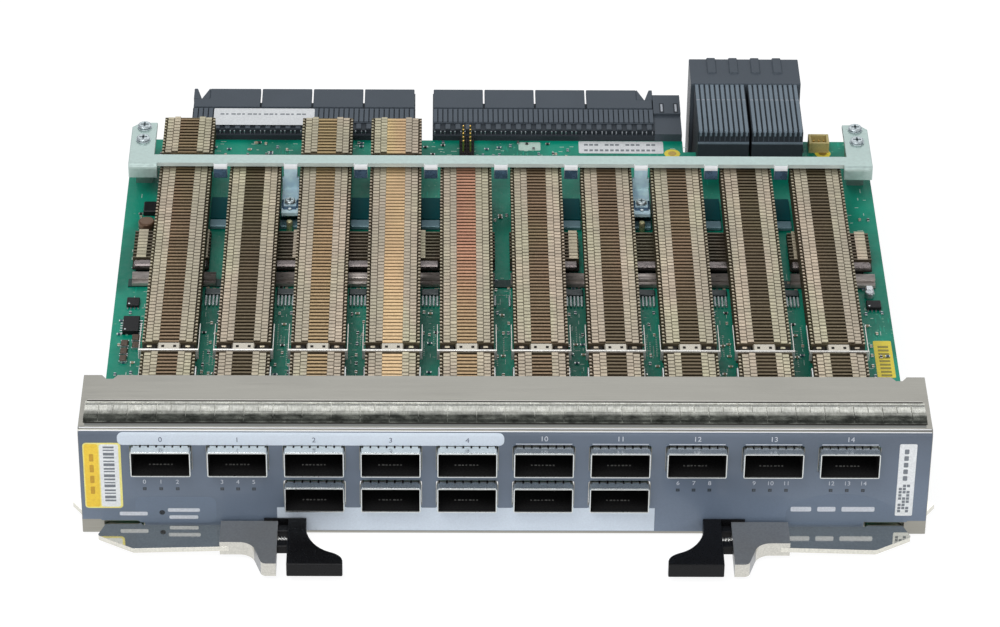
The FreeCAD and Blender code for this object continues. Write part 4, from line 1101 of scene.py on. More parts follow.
class LINECARD_OT_board(bpy.types.Operator):
    """Finishes the board and sets its small parts, marks and stickers"""

    bl_idname = "line_card.board"
    bl_label = "Board and small parts"

    def execute(self, context):
        painted("main_board", board_finish())
        self.passives()
        self.marks()
        self.blocks()
        self.side_parts()
        self.stickers()
        self.underside()
        return {"FINISHED"}

    def lanes(self):
        """Middles of the open lanes between the sinks."""
        places = sorted(port_x(number) for number in PORTS_UP)
        return [(a + b) / 2 for a, b in zip(places, places[1:])]

    def passives(self):
        """Rows of small ceramic parts with bright ends, in the lanes and along the ends."""
        rng = random.Random(5)
        bm = bmesh.new()
        for lane in self.lanes() + [-128.5, 128.5]:
            wide = 2.6 if abs(lane) < 120 else 3.4
            for y in (34, 37.5, 41, 46, 55, 60.5, 66, 72, 78.5, 85, 91, 106, 110, 150.5, 153.5):
                for column in (-1, 0, 1):
                    if rng.random() < 0.5:
                        continue
                    x = lane + column * wide * 0.8 + rng.uniform(-0.3, 0.3)
                    depth = back(y + rng.uniform(-1, 1))
                    self.passive(bm, x, depth, rng.random() < 0.6, rng.choice((0, 0, 1, 3)))
        for _ in range(60):
            x = rng.uniform(-126, 60)
            y = back(rng.uniform(191.5, 202.0))
            if abs(x + 13.5) > 6 and not 26 < x < 60:
                self.passive(bm, x, y, rng.random() < 0.5, rng.choice((0, 1, 3)))
        coats = [plain("part_beige", tone(176, 160, 130), 0.5), plain("part_dark", tone(46, 42, 40), 0.5),
                 plain("part_ends", tone(214, 216, 214), 0.3, 0.8),
                 plain("part_blue", tone(70, 96, 110), 0.5)]
        finished("small_parts", bm, coats)

    def passive(self, bm, x, y, along_y, body):
        long_side, short_side = 0.8, 0.42
        a, b = (short_side, long_side) if along_y else (long_side, short_side)
        box(bm, x - a, x + a, y - b, y + b, PLATE, PLATE + 0.5, 2)
        if along_y:
            box(bm, x - a - 0.02, x + a + 0.02, y - b * 0.6, y + b * 0.6, PLATE, PLATE + 0.56, body)
        else:
            box(bm, x - a * 0.6, x + a * 0.6, y - b - 0.02, y + b + 0.02, PLATE, PLATE + 0.56, body)

    def marks(self):
        """Silkscreen ticks, outlines and long lane lines."""
        rng = random.Random(11)
        bm = bmesh.new()

        def line(x0, x1, y0, y1):
            box(bm, x0, x1, back(y0), back(y1), PLATE, PLATE + 0.04, 0)

        for lane in self.lanes():
            for y in range(33, 114, 4):
                if rng.random() < 0.55:
                    x = lane + rng.uniform(-2.8, 1.2)
                    line(x, x + rng.uniform(0.8, 1.8), y, y + 0.3)
                if rng.random() < 0.4:
                    x = lane + rng.uniform(-2.8, 2.6)
                    line(x, x + 0.22, y, y + rng.uniform(1.5, 3.4))
            for column in range(5):
                if rng.random() < 0.7:
                    x = lane - 2.2 + column * 1.1
                    start = rng.choice((60, 66, 72))
                    for step in range(rng.randint(5, 12)):
                        line(x, x + 0.42, start + step * 1.1, start + step * 1.1 + 0.5)
            for x in (lane - 2.7, lane + 2.5):
                line(x, x + 0.2, 38, 52)
            line(lane - 2.7, lane + 2.7, 52, 52.2)
            line(lane - 2.7, lane + 2.7, 38, 38.2)
            outline = (lane - 2.9, lane + 2.9, 102.5, 112.5)
            line(outline[0], outline[1], outline[2], outline[2] + 0.2)
            line(outline[0], outline[0] + 0.2, outline[2], outline[3])
            line(outline[1] - 0.2, outline[1], outline[2], outline[3])
        for side, inner, outer in ((-1, 123.0, 132.5), (1, 123.0, 132.5)):
            for y in range(34, 190, 5):
                if rng.random() < 0.75:
                    x = side * rng.uniform(inner, outer - 2)
                    line(x, x + rng.uniform(0.8, 2.0), y, y + 0.3)
                if rng.random() < 0.35:
                    x = side * rng.uniform(inner, outer - 2)
                    line(x, x + 0.25, y, y + rng.uniform(1.5, 3.0))
        for _ in range(70):
            x = rng.uniform(-125, 68)
            if not 28 < x < 58:
                y = rng.uniform(190.5, 202.0)
                line(x, x + rng.uniform(0.6, 2.2), y, y + 0.28)
        finished("board_marks", bm, [plain("ink_silkscreen", tone(196, 220, 206), 0.6)])

    def blocks(self):
        """Bright capacitors in each lane, the dark strip behind them, and rear packages."""
        bm = bmesh.new()
        for lane in self.lanes():
            columns = (0, 4) if abs(lane) < 1 else range(5)
            for column in columns:
                x = lane - 2.5 + column * 1.25
                box(bm, x - 0.4, x + 0.4, back(95.2), back(101.0), PLATE, PLATE + 1.0, 0, 0.2)
            if abs(lane) < 1:
                continue
            box(bm, lane - 3.1, lane + 3.1, back(101.4), back(104.8), PLATE, PLATE + 1.3, 1, 0.3)
            box(bm, lane - 3.4, lane + 3.4, back(143.6), back(148.0), PLATE, PLATE + 1.6, 3, 0.3)
            box(bm, lane - 3.4, lane + 3.4, back(149.4), back(163.0), PLATE, PLATE + 1.2, 2, 0.15)
        coats = [grained("cap_bright", tone(206, 216, 216), 0.35, (0.25, 0.45), (900, 900, 900), (0.7, 1.15),
                         0.00012, (400, 400, 400), tone(140, 146, 150), 0.5),
                 plain("strip_teal", tone(26, 52, 54), 0.35),
                 plastic("package_teal", tone(4, 84, 88), 0.5, 0.08),
                 plain("package_blue", tone(120, 156, 166), 0.4, 0.2)]
        finished("lane_parts", bm, coats)

    def side_parts(self):
        """Packages under the low sinks and at both ends of the board, round cans and coils."""
        bm = bmesh.new()
        for sink in ("left", "middle_left", "middle", "middle_right", "right"):
            low, high = span("chip_sink_" + sink)
            wide = (high.x - low.x) * 0.1
            start = 4.2 if sink == "middle" else low.x + wide
            box(bm, start, high.x - wide, low.y + 1.0, high.y - 1.0, PLATE, low.z, 0, 0.2)
        self.package(bm, 128.6, 96.0, 5.0, 4.4, 1.5, 4, "y")
        self.package(bm, -127.6, 96.5, 4.4, 4.8, 1.3, 4, "y")
        self.package(bm, -127.4, 82.1, 5.6, 9.0, 2.0, 6, "x")
        for x, y in ((-129.0, 62.6), (-129.0, 67.0), (-129.0, 71.6), (-125.2, 70.6), (-125.4, 75.0)):
            box(bm, x - 1.2, x + 1.2, back(y - 1.5), back(y + 1.5), PLATE, PLATE + 1.4, 2, 0.25)
            box(bm, x - 1.4, x + 1.4, back(y - 1.8), back(y - 1.4), PLATE, PLATE + 0.9, 1)
            box(bm, x - 1.4, x + 1.4, back(y + 1.4), back(y + 1.8), PLATE, PLATE + 0.9, 1)
        cylinder(bm, 1.6, (127.6, back(102.0), PLATE), 2.6, 3, 20, edge=0.3)
        box(bm, 126.2, 129.0, back(102.4), back(105.3), PLATE, PLATE + 3.0, 1, 0.5)
        low, high = span("board_chips")
        rear = high.y - 2.9
        cylinder(bm, 2.9, (-125.5, rear, PLATE), 5.0, 4, 28, edge=0.5)
        box(bm, -128.4, -122.6, rear - 2.9, rear + 2.9, PLATE, PLATE + 0.7, 0, 0.2)
        box(bm, -127.4, -122.6, back(152.0), back(158.6), PLATE, PLATE + 2.2, 0, 0.3)
        coats = [plastic("part_black", tone(28, 28, 30), 0.42),
                 plain("part_legs", tone(206, 208, 210), 0.3, 0.9),
                 plain("part_brown", tone(92, 74, 58), 0.5),
                 plain("part_can", tone(186, 190, 192), 0.3, 0.8),
                 plain("part_bronze", tone(112, 86, 66), 0.35, 0.5)]
        finished("side_parts", bm, coats, nodes=("board_chips",))

    def package(self, bm, x, y, width, depth, height, legs, axis):
        box(bm, x - width / 2, x + width / 2, back(y - depth / 2), back(y + depth / 2),
            PLATE + 0.15, PLATE + height, 0, 0.18)
        cylinder(bm, 0.35, (x - width / 2 + 0.9, back(y - depth / 2 + 0.9), PLATE + height), 0.03, 1, 12)
        reach = (depth if axis == "y" else width) / 2
        across = width if axis == "y" else depth
        for i in range(legs):
            shift = (i - (legs - 1) / 2) * across * 0.82 / max(1, legs - 1)
            for side in (-1, 1):
                a, b = sorted((side * (reach - 0.1), side * (reach + 0.95)))
                if axis == "y":
                    box(bm, x + shift - 0.22, x + shift + 0.22, back(y + a), back(y + b), PLATE,
                        PLATE + 0.4, 1)
                else:
                    box(bm, x + a, x + b, back(y + shift - 0.22), back(y + shift + 0.22), PLATE,
                        PLATE + 0.4, 1)

    def stickers(self):
        """White, yellow and cream stickers on the board."""
        bm = bmesh.new()
        deck = PLATE + 0.05
        self.sticker(bm, 29.0, 60.0, 195.0, 203.2, deck, 0)
        for i in range(14):
            x = 31.0 + i * 1.9
            box(bm, x, x + 1.25, back(196.4), back(197.6), deck + 0.04, deck + 0.07, 2)
            if i % 4 != 3:
                box(bm, x, x + 1.4, back(200.2), back(201.3), deck + 0.04, deck + 0.07, 2)
        self.sticker(bm, 7.0, 15.0, 196.8, 202.4, deck, 3)
        self.sticker(bm, 126.6, 132.8, 53.7, 75.5, deck, 1)
        for i in range(9):
            y = 54.5 + i * 2.1
            box(bm, 128.0, 131.6, back(y), back(y + 1.1), deck + 0.04, deck + 0.07, 5)
        for x, y in ((118.2, 195.4), (63.1, 194.9)):
            cylinder(bm, 2.9, (x, back(y), PLATE), 0.12, 1, 28)
            cylinder(bm, 1.5, (x, back(y), PLATE + 0.1), 0.1, 4, 20)
        box(bm, 116.0, 120.4, back(192.0), back(195.6), PLATE, PLATE + 0.14, 1)
        coats = [plain("sticker_white", tone(236, 238, 238), 0.5),
                 plain("sticker_yellow", tone(250, 226, 70), 0.5),
                 plain("sticker_grey", tone(132, 138, 142), 0.55),
                 plain("sticker_mint", tone(198, 224, 210), 0.55),
                 plain("ring_gold", tone(190, 160, 84), 0.35, 0.7),
                 plain("sticker_olive", tone(160, 148, 66), 0.55)]
        finished("board_stickers", bm, coats)

    def sticker(self, bm, x0, x1, y0, y1, level, material):
        outline = rounded(x0, x1, back(y0), back(y1), 0.6, 3)
        slab(bm, [(x, y, level) for x, y in outline], (0, 0, -0.05), material)

    def underside(self):
        """Small parts and marks under the board."""
        rng = random.Random(31)
        low = BOARD_LOW.z
        bm = bmesh.new()
        for _ in range(420):
            x, y = rng.uniform(-130, 130), rng.uniform(60, 196)
            if any(abs(x - port_x(number)) < 10.6 for number in PORTS_DOWN) and y < 168:
                continue
            a, b = rng.choice(((0.8, 0.42), (0.42, 0.8), (1.3, 0.8)))
            box(bm, x - a, x + a, back(y) - b, back(y) + b, low - 0.5, low, 2)
            box(bm, x - a * 0.6, x + a * 0.6, back(y) - b * 0.9, back(y) + b * 0.9, low - 0.58, low,
                rng.choice((0, 1)))
        for x in (-105, -90, 55, 82, 108):
            for y in (88, 132):
                box(bm, x - 5, x + 5, back(y - 5), back(y + 5), low - 1.1, low, 1, 0.2)
        coats = [plain("part_beige", tone(176, 160, 130), 0.5), plain("part_dark", tone(46, 42, 40), 0.5),
                 plain("part_ends", tone(214, 216, 214), 0.3, 0.8)]
        finished("underside_parts", bm, coats)


# Crossbar ---------------------------------------------------------------------------


class LINECARD_OT_crossbar(bpy.types.Operator):
    """Finishes the rear crossbar, its posts, screws and tab pins"""

    bl_idname = "line_card.crossbar"
    bl_label = "Rear crossbar"

    def execute(self, context):
        plating = tuple(colours().bar) + (1.0,)
        bar = grained("bar_metal", plating, 0.6, (0.3, 0.46), (700, 700, 700), (0.92, 1.07), 0.00001,
                      (40, 40, 40), shade(plating, 0.88), 0.5)
        bm = copied(["rear_crossbar"], 0.0)
        low, high = span("rear_crossbar")
        for rim, width, steps in ((True, 1.7, 4), (False, 0.35, 2)):
            edges = [e for e in bm.edges if e.is_manifold and e.calc_face_angle(0) > 0.5]
            if rim:
                edges = [e for e in edges if min(v.co.z for v in e.verts) > high.z - 0.05
                         and max(v.co.y for v in e.verts) < low.y + 30.0
                         and abs(e.verts[0].co.y - e.verts[1].co.y) < 0.01
                         and any(f.normal.y < -0.9 and f.calc_area() > 8 for f in e.link_faces)]
            bmesh.ops.bevel(bm, geom=edges, offset=width, affect="EDGES", segments=steps,
                            profile=0.5, material=-1, clamp_overlap=not rim)
        # Materials by place: the tabs' front in a light-blue painted reflection, the lip's front in a
        # dark-blue painted reflection of the board, the bend over the lanes in a near-white painted
        # highlight and elsewhere in a softer painted highlight.
        for face in bm.faces:
            middle = face.calc_center_median()
            if abs(middle.x) > HALF_FACE - 22:
                continue
            under = middle.z < high.z - 1.6
            if under and any(abs(middle.x - lane_x(number)) < 4.2 for number in TAB_PORTS):
                face.material_index = 1
            elif under and face.normal.y < -0.8:
                face.material_index = 2
            elif face.normal.y < -0.25:
                lane = any(abs(middle.x - lane_x(number)) < 4.6 for number in PORTS_UP)
                face.material_index = 3 if lane else 4
        # Painted reflections and highlights for the crossbar's front: light blue on the tabs, dark blue on
        # the lip, near-white on the bend.
        tab_reflection_coat = grained("tab_painted_reflection", tone(214, 242, 255), 0.05, (0.3, 0.45), (500, 500, 500), (0.88, 1.1),
                       0.00002, (120, 120, 120), tone(140, 188, 222), 0.7)
        blue = grained("lip_painted_reflection", tone(112, 138, 166), 0.5, (0.2, 0.35), (500, 500, 500), (0.7, 1.2),
                       0.00002, (90, 90, 90), tone(40, 62, 84), 0.6)
        edge = brushed("bar_bend_painted_highlight", tone(250, 252, 252), "x", (0.25, 0.4), 0.0)
        rim_highlight_coat = brushed("bar_rim_painted_highlight", tone(206, 218, 212), "x", (0.35, 0.5), 0.05)
        finished("crossbar_sheet", bm, [bar, tab_reflection_coat, blue, edge, rim_highlight_coat],
                 nodes=("rear_crossbar",))
        painted("crossbar_posts", plain("post_metal", tone(170, 174, 172), 0.35, 0.9))
        self.screws()
        return {"FINISHED"}

    def screws(self):
        low, high = span("crossbar_screws")
        steel = plain("screw_metal", tone(206, 216, 218), 0.34, 0.8)
        # A darker metal for the cross recess: painted shade.
        recess = plain("screw_recess_painted_shade", tone(104, 116, 120), 0.5, 0.6)
        bm = bmesh.new()
        bar_end = span("rear_crossbar")[1].x
        for side in (-1, 1):
            x = side * (bar_end - 4.5)
            for y in (177.0, 185.5):
                self.pan(bm, x, back(y), low.z, 2.6, high.z - low.z)
        for tab in map(lane_x, TAB_PORTS):
            self.pan(bm, tab, back(TAB_SCREW_Y), PLATE + 6.75, 2.0, 1.3)
            for x0, x1, y0, y1 in ((-2.9, -2.2, 147.2, 152.8), (2.2, 2.9, 147.2, 152.8),
                                   (-2.4, 2.4, 146.4, 148.4)):
                box(bm, tab + x0, tab + x1, back(y0), back(y1), PLATE + 6.7, PLATE + 6.82, 3)
            cylinder(bm, 0.7, (tab, back(146.4), PLATE + 6.7), 0.5, 0, 16, edge=0.2)
            cylinder(bm, 1.1, (tab, back(142.4), PLATE), 4.6, 2, 16, edge=0.4)
        brass = plain("pin_brass", tone(240, 228, 176), 0.3, 0.6)
        shadow = plain("tab_shadow", tone(52, 78, 100), 0.3, 0.8)
        finished("pan_screws", bm, [steel, recess, brass, shadow], nodes=("crossbar_screws",))

    def pan(self, bm, x, y, foot, radius, rise):
        """Pan head on its washer, with a cross recess."""
        cylinder(bm, radius * 1.0, (x, y, foot), rise * 0.3, 0, 28)
        cylinder(bm, radius * 0.92, (x, y, foot + rise * 0.3), rise * 0.6, 0, 28, edge=rise * 0.3)
        top = foot + rise * 0.9
        # A dark cross on the head: painted shade in the recess.
        for a, b in ((radius * 0.55, radius * 0.14), (radius * 0.14, radius * 0.55)):
            box(bm, x - a, x + a, y - b, y + b, top - 0.1, top + 0.02, 1)


# Backplane connectors ---------------------------------------------------------------


def mating_face(bm, across, up, level, pitch=CHAMBER_PITCH):
    """Rows of small chambers, each with its contact, on the floor of a connector's mouth."""
    columns, rows = int((across[1] - across[0]) / pitch), int((up[1] - up[0]) / pitch)
    left = (across[0] + across[1] - columns * pitch) / 2
    foot = (up[0] + up[1] - rows * pitch) / 2
    # The floor behind the chambers, in painted shade.
    box(bm, across[0], across[1], level - 0.2, level + 0.05, up[0], up[1], 1)
    for column in range(columns):
        for row in range(rows):
            x, z = left + column * pitch, foot + row * pitch
            box(bm, x + 0.22, x + pitch - 0.22, level, level + 1.1, z + 0.75, z + pitch - 0.1, 0)
            box(bm, x + 0.6, x + 1.1, level, level + 0.5, z + 0.15, z + 0.6, 2)


class LINECARD_OT_connectors(bpy.types.Operator):
    """Builds the ribs, slots and contacts of the low backplane connectors"""

    bl_idname = "line_card.connectors"
    bl_label = "Low connectors"

    def execute(self, context):
        grey = tuple(colours().connector) + (1.0,)
        resin = plastic("connector_plastic", grey, 0.45)
        ribs = plastic("connector_ribs", shade(grey, 1.25), 0.5)
        # A darker copy of the connector plastic: painted shade in slots, gaps and recesses.
        dark = plastic("connector_painted_shade", shade(grey, 0.5), 0.6)
        tin = plain("connector_tin", tone(176, 180, 186), 0.35, 0.8)
        for name, outer in (("left", -1), ("middle", 1)):
            self.cap(name + "_connector_housing", outer, [resin, dark, tin])
            self.wafers(name + "_connector_wafers", [resin, ribs, dark, tin])
        bm = copied(["guide_block"], 0.25, 2)
        low, high = span("guide_block")
        x = (low.x + high.x) / 2
        for middle in (x - 1.9, x + 3.3):
            # Two slots in painted shade, each with a tin blade.
            box(bm, middle - 0.9, middle + 0.9, 208.4, 215.2, high.z - 0.5, high.z + 0.02, 2)
            box(bm, middle - 0.45, middle + 0.45, 209.4, 214.5, high.z - 0.4, high.z + 0.06, 1, 0.1)
        finished("guide_housing", bm, [resin, tin, dark], nodes=("guide_block",))
        self.label()
        return {"FINISHED"}

    def cap(self, node, outer, materials):
        """Cap in modules with a keyed outer end, hollow round its mating face."""
        low, high = span(node)
        floor = high.y - CAP_MOUTH
        wall, notch, groove = CAP_WALL, CAP_NOTCH, CAP_SEAM
        bm = bmesh.new()
        box(bm, low.x, high.x, low.y, floor, low.z, high.z - wall)
        box(bm, low.x + notch, high.x - notch, floor, high.y, low.z, low.z + wall, 0)
        tip, far = (low.x, high.x) if outer < 0 else (high.x, low.x)
        foot = floor - high.y
        for plan in ([(0, foot), (notch / 2, foot), (1.25, 0), (0, 0)],
                     [(notch / 2, foot), (notch, foot), (notch, 0), (5.6, 0)]):
            slab(bm, [(tip - outer * x, high.y + y, low.z) for x, y in plan],
                 (0, 0, high.z - low.z), 0, 0.2)
        a, b = sorted((far, far + outer * notch))
        box(bm, a, b, floor, high.y, low.z, high.z - wall, 0)
        body = high.x - low.x - notch
        start = low.x + (notch if outer < 0 else 0)
        seams = [low.x] + [start + body * i / CAP_MODULES for i in range(1, CAP_MODULES)] + [high.x]
        for x0, x1 in zip(seams, seams[1:]):
            a, b = x0 + groove, x1 - groove
            plan = [(a, low.y), (b, low.y), (b, high.y), (a, high.y)]
            if x0 == low.x and outer < 0:
                plan = [(a, low.y), (b, low.y), (b, high.y), (x0 + notch, high.y), (x0 + notch, floor),
                        (a, floor)]
            if x1 == high.x and outer > 0:
                plan = [(a, low.y), (b, low.y), (b, floor), (x1 - notch, floor), (x1 - notch, high.y),
                        (a, high.y)]
            slab(bm, [(x, y, high.z - wall) for x, y in plan], (0, 0, wall), 0, 0.3, 2)
        mating_face(bm, (low.x + notch, high.x - notch), (low.z + wall, high.z - wall), floor)
        finished(node + "_cap", bm, materials, nodes=(node,))

    def wafers(self, node, materials):
        """Fine ribs behind a row of slots, over the wafers' body."""
        low, high = span(node)
        top = high.z
        seam = BOARD_HIGH.y
        bm = bmesh.new()
        # The wafers' body, its seam and its rear lip, seen between the ribs, in painted shade.
        box(bm, low.x, high.x, seam + 1.6, high.y, low.z, top - 1.0, 2)
        box(bm, low.x, high.x, low.y, seam + 1.6, low.z, BOARD_LOW.z, 0, 0.2)
        box(bm, low.x, high.x, seam, seam + 1.7, BOARD_LOW.z, top - 2.2, 2)
        box(bm, low.x, high.x, high.y - 0.9, high.y, top - 1.0, top - 0.7, 2)
        pitch = 1.85
        count = int((high.x - low.x) / pitch)
        first = (low.x + high.x - count * pitch) / 2
        for i in range(count):
            x = first + i * pitch
            box(bm, x + 0.2, x + pitch - 0.2, seam + 6.2, high.y - 1.0, top - 1.0, top, 1)
        # The row of slots in painted shade.
        box(bm, low.x, high.x, seam + 1.6, seam + 6.3, top - 1.2, top - 0.8, 2)
        for i in range(count // 2):
            x = first + (i * 2 + 1) * pitch
            box(bm, x - 1.0, x + 1.0, seam + 2.0, seam + 5.4, top - 0.9, top - 0.3, 0, 0.2)
            box(bm, x - 1.3, x - 0.9, seam + 0.9, seam + 1.7, top - 2.2, top - 1.0, 3)
            box(bm, x + 0.9, x + 1.3, seam + 0.9, seam + 1.7, top - 2.2, top - 1.0, 3)
        box(bm, low.x + 0.2, high.x - 0.2, seam + 5.5, seam + 5.7, top - 0.2, top - 0.04, 1)
        finished(node + "_ribs", bm, materials, nodes=(node,))

    def label(self):
        bm = bmesh.new()
        top = span("left_connector_wafers")[1].z + 0.04
        front, rear = BOARD_HIGH.y + 3.4, BOARD_HIGH.y + 14.8
        slab(bm, [(x, y, top) for x, y in rounded(-105.0, -68.0, front, rear, 0.5, 3)], (0, 0, 0.06), 0)
        for i in range(16):
            x = -102.6 + i * 2.0
            box(bm, x, x + (1.4, 0.9, 1.6)[i % 3], front + 7.0, front + 7.9, top + 0.06, top + 0.08, 1)
        coats = [plain("sticker_white", tone(236, 238, 238), 0.5),
                 plain("sticker_grey", tone(132, 138, 142), 0.55)]
        finished("connector_label", bm, coats)


class LINECARD_OT_tall_connector(bpy.types.Operator):
    """Builds the cap, wafers and base of the tall connector"""

    bl_idname = "line_card.tall_connector"
    bl_label = "Tall connector"

    def execute(self, context):
        grey = tuple(colours().connector) + (1.0,)
        resin = plastic("connector_plastic", grey, 0.45)
        black = plastic("tall_wafer_plastic", tone(118, 132, 142), 0.38)
        # The same darker copy: painted shade in the mouth and between the blades.
        dark = plastic("connector_painted_shade", shade(grey, 0.35), 0.6)
        tin = plain("connector_tin", tone(176, 180, 186), 0.35, 0.8)
        bm = copied(["tall_shroud"], 0.3, 2)
        low, high = span("tall_shroud")
        across = (low.x + TALL_WALL, high.x - TALL_WALL)
        up = (low.z + TALL_WALL, high.z - TALL_WALL - 0.6)
        mating_face(bm, across, up, high.y - TALL_MOUTH)
        finished("tall_cap", bm, [resin, dark, tin], nodes=("tall_shroud",))
        self.wafers([black, dark, tin, resin])
        return {"FINISHED"}

    def wafers(self, materials):
        low, high = span("tall_wafers")
        board = back(196.4)
        bm = bmesh.new()
        middle = (low.x + high.x) / 2
        top = high.z
        for side in (-1, 1):
            a, b = sorted((middle + side * 0.5, middle + side * (high.x - low.x) / 2))
            # The wafers' bodies between the blades, in painted shade.
            box(bm, a, b, board, high.y, 0, top - 1.0, 1)
            box(bm, a, b, low.y + 1.0, board, PLATE, top - 1.2, 1)
            box(bm, a, b, low.y, low.y + 1.2, PLATE, top - 5.6, 1, 0.2)
            box(bm, a, b, low.y, low.y + 1.2, top - 5.6, top - 5.2, 0)
            step = (b - a) / 10
            for i in range(10):
                x = a + i * step
                profile = [(low.y + 0.7, top - 1.3), (low.y + 0.7, top - 0.6), (low.y + 1.2, top - 0.1),
                           (high.y - 11.4, top - 0.05), (high.y - 11.0, top - 0.5), (high.y, top - 0.4),
                           (high.y, top - 1.3)]
                slab(bm, [(x + step * 0.16, y, z) for y, z in profile], (step * 0.66, 0, 0), 0, 0.08)
                box(bm, x + step * 0.2, x + step * 0.4, low.y + 0.8, low.y + 1.4, top - 5.2, top - 1.2, 3)
                box(bm, x + step * 0.18, x + step * 0.8, high.y - 11.5, high.y - 11.2,
                    top - 0.4, top - 0.02, 2)
                box(bm, x + step * 0.3, x + step * 0.7, low.y + 0.2, low.y + 0.9,
                    top - 2.4, top - 0.8, 0, 0.1)
        finished("tall_blades", bm, materials, nodes=("tall_wafers",))


class LINECARD_OT_headers(bpy.types.Operator):
    """Builds the pin header and the small shrouded header"""

    bl_idname = "line_card.headers"
    bl_label = "Board headers"

    def execute(self, context):
        bm = bmesh.new()
        x, rear = -12.0, BOARD_HIGH.y - 1.2
        box(bm, x - 2.7, x + 2.7, rear - 12.4, rear, PLATE, PLATE + 2.5, 0, 0.25)
        for row in (-1, 1):
            for i in range(5):
                px, py = x + row * 1.27, rear - 6.2 + (i - 2) * 2.54
                box(bm, px - 1.0, px + 1.0, py - 1.0, py + 1.0, PLATE + 2.4, PLATE + 3.2, 0, 0.3)
                box(bm, px - 0.32, px + 0.32, py - 0.32, py + 0.32, PLATE + 3.0, PLATE + 8.0, 1, 0.12)
        right = span("board_headers")[1].x
        left = right - 7.4
        box(bm, left, right, rear - 6.5, rear, PLATE, PLATE + 1.0, 2)
        walls = ((left, left + 1.0, rear - 6.5, rear), (right - 1.0, right, rear - 6.5, rear),
                 (left + 1.0, right - 1.0, rear - 6.5, rear - 5.5),
                 (left + 1.0, right - 1.0, rear - 1.0, rear))
        for x0, x1, y0, y1 in walls:
            box(bm, x0, x1, y0, y1, PLATE + 1.0, PLATE + 4.2, 2, 0.15)
        for i in range(3):
            px = left + 1.9 + i * 1.8
            box(bm, px - 0.25, px + 0.25, rear - 3.6, rear - 3.1, PLATE + 1.0, PLATE + 3.6, 1, 0.1)
        coats = [plastic("header_black", tone(26, 26, 28), 0.5), gold(),
                 plastic("header_beige", tone(206, 190, 130), 0.5)]
        finished("pin_headers", bm, coats, nodes=("board_headers",))
        return {"FINISHED"}


# Levers -----------------------------------------------------------------------------


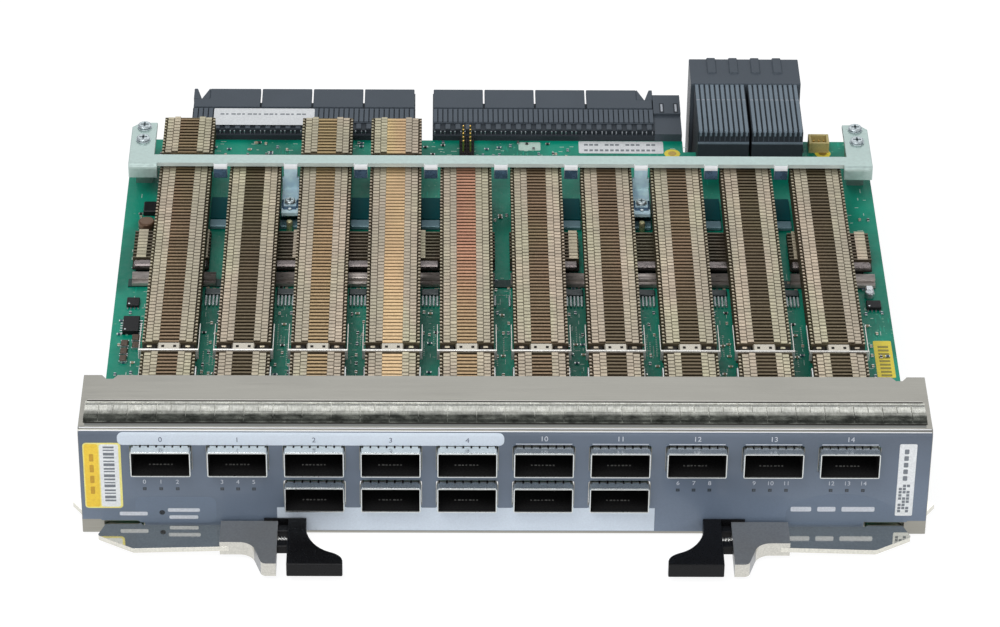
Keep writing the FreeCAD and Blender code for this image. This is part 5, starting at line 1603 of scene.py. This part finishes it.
class LINECARD_OT_levers(bpy.types.Operator):
    """Finishes the polished levers with their cast grips, triggers, springs and pins"""

    bl_idname = "line_card.levers"
    bl_label = "Ejector levers"

    def execute(self, context):
        polish = plain("lever_polish", tone(222, 220, 210), 0.07, 1.0)
        cast = grained("grip_metal", tone(158, 160, 162), 0.6, (0.3, 0.45), (1500, 1500, 1500), (0.9, 1.1),
                       0.00001, (60, 60, 60), tone(150, 148, 142), 0.4)
        bright = plain("grip_edge", tone(206, 204, 196), 0.2, 1.0)
        black = plastic("trigger_plastic", tuple(colours().trigger) + (1.0,), 0.3, 0.2)
        for side in ("left", "right"):
            self.lever(side, [polish, cast, bright])
            self.trigger(side, black)
            self.spring(side)
        painted("pivot_pins", plain("pin_metal", tone(190, 190, 184), 0.3, 1.0))
        return {"FINISHED"}

    def lever(self, side, metals):
        bm = copied(["lever_" + side], 0.22, 2)
        low, high = span("lever_" + side)
        edge = min(abs(low.x), abs(high.x)) + GRIP_LENGTH
        for face in bm.faces:
            middle = face.calc_center_median()
            if abs(middle.x) < edge - 0.1 and face.normal.y > -0.45:
                face.material_index = 1
            elif abs(middle.x) < edge - 0.1:
                face.material_index = 2
        finished("ejector_lever_" + side, bm, metals, side + "_lever", ("lever_" + side,))

    def trigger(self, side, black):
        """Thumb trigger with its swept front and the two rails that slide in the grip."""
        low, high = span("trigger_" + side)
        out = 1 if side == "left" else -1
        near = high.x if side == "left" else low.x
        plan = [(-12.3, high.y), (-12.3, high.y - 6.0)]
        for start, lead, trail, end in (((-12.3, -14.5), (-11.8, -20.5), (-8.4, -25.2), (-4.4, -26.9)),
                                        ((-4.4, -26.9), (-1.6, -28.0), (0.0, -29.6), (0.0, -32.0))):
            for i in range(1, 9):
                t = i / 8
                shares = ((1 - t) ** 3, 3 * t * (1 - t) ** 2, 3 * (1 - t) * t * t, t ** 3)
                spots = (start, lead, trail, end)
                plan.append(tuple(sum(share * spot[k] for share, spot in zip(shares, spots))
                                  for k in (0, 1)))
        plan += [(0.0, low.y), (-18.3, low.y), (-18.3, high.y)]
        bm = bmesh.new()
        slab(bm, [(near + out * x, y, low.z) for x, y in plan], (0, 0, high.z - low.z), 0, 0.4, 3)
        a, b = sorted((near - out * 18.2, near - out * 26.3))
        for y in (-21.95, -13.8):
            box(bm, a, b, y, y + 3.4, low.z + 0.3, high.z - 1.7, 0, 0.2)
        box(bm, a, b, high.y - 0.55, high.y, high.z - 2.8, high.z - 0.2, 0)
        finished("thumb_trigger_" + side, bm, [black], side + "_trigger",
                 ("trigger_" + side,))

    def spring(self, side):
        """Coil between the grip's pocket and the trigger."""
        node = "trigger_spring_" + side
        low, high = span(node)
        y, z = (low.y + high.y) / 2, (low.z + high.z) / 2
        wire, radius = 0.2, 0.85
        turns, steps = 11, 14
        length = high.x - low.x - 2 * wire
        bm = bmesh.new()
        ring = bmesh.ops.create_circle(
            bm, cap_ends=False, segments=6, radius=wire,
            matrix=Matrix.Translation((low.x + wire, y + radius, z)))
        bmesh.ops.spin(bm, geom=ring["verts"] + list({e for v in ring["verts"] for e in v.link_edges}),
                       cent=(low.x + wire, y, z), axis=(1, 0, 0), angle=2 * math.pi * turns,
                       dvec=(length / (turns * steps), 0, 0), steps=turns * steps, use_merge=False)
        bmesh.ops.remove_doubles(bm, verts=bm.verts, dist=0.0005)
        bmesh.ops.holes_fill(bm, edges=[e for e in bm.edges if e.is_boundary], sides=8)
        bmesh.ops.recalc_face_normals(bm, faces=bm.faces)
        for face in bm.faces:
            face.smooth = True
        steel = plain("spring_metal", tone(214, 214, 210), 0.25, 1.0)
        coil = finished("return_coil_" + side, bm, [steel], side + "_lever", (node,))
        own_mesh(coil)


# Panel and registration -------------------------------------------------------------


STEPS = (
    LINECARD_OT_stage, LINECARD_OT_faceplate, LINECARD_OT_strip, LINECARD_OT_cages,
    LINECARD_OT_port_sinks, LINECARD_OT_chip_sinks, LINECARD_OT_board, LINECARD_OT_crossbar,
    LINECARD_OT_connectors, LINECARD_OT_tall_connector, LINECARD_OT_headers, LINECARD_OT_levers,
)


class LINECARD_PT_panel(bpy.types.Panel):
    """Lists the card's steps and their sizes and colours"""

    bl_idname = "LINECARD_PT_panel"
    bl_label = "Line card"
    bl_space_type = "VIEW_3D"
    bl_region_type = "UI"
    bl_category = "Line card"

    def draw(self, context):
        layout = self.layout
        for group in (context.scene.line_card_sizes, context.scene.line_card_colours):
            for name in group.bl_rna.properties.keys():
                if name not in ("rna_type", "name"):
                    layout.prop(group, name)
        for step in STEPS:
            layout.operator(step.bl_idname)


CLASSES = (LineCardColours, LineCardSizes, *STEPS, LINECARD_PT_panel)


def register():
    for item in CLASSES:
        bpy.utils.register_class(item)
    bpy.types.Scene.line_card_sizes = bpy.props.PointerProperty(type=LineCardSizes)
    bpy.types.Scene.line_card_colours = bpy.props.PointerProperty(type=LineCardColours)


def unregister():
    del bpy.types.Scene.line_card_sizes
    del bpy.types.Scene.line_card_colours
    for item in reversed(CLASSES):
        bpy.utils.unregister_class(item)


def main():
    register()
    for step in STEPS:
        group, name = step.bl_idname.split(".")
        getattr(getattr(bpy.ops, group), name)()


if __name__ == "__main__":
    main()
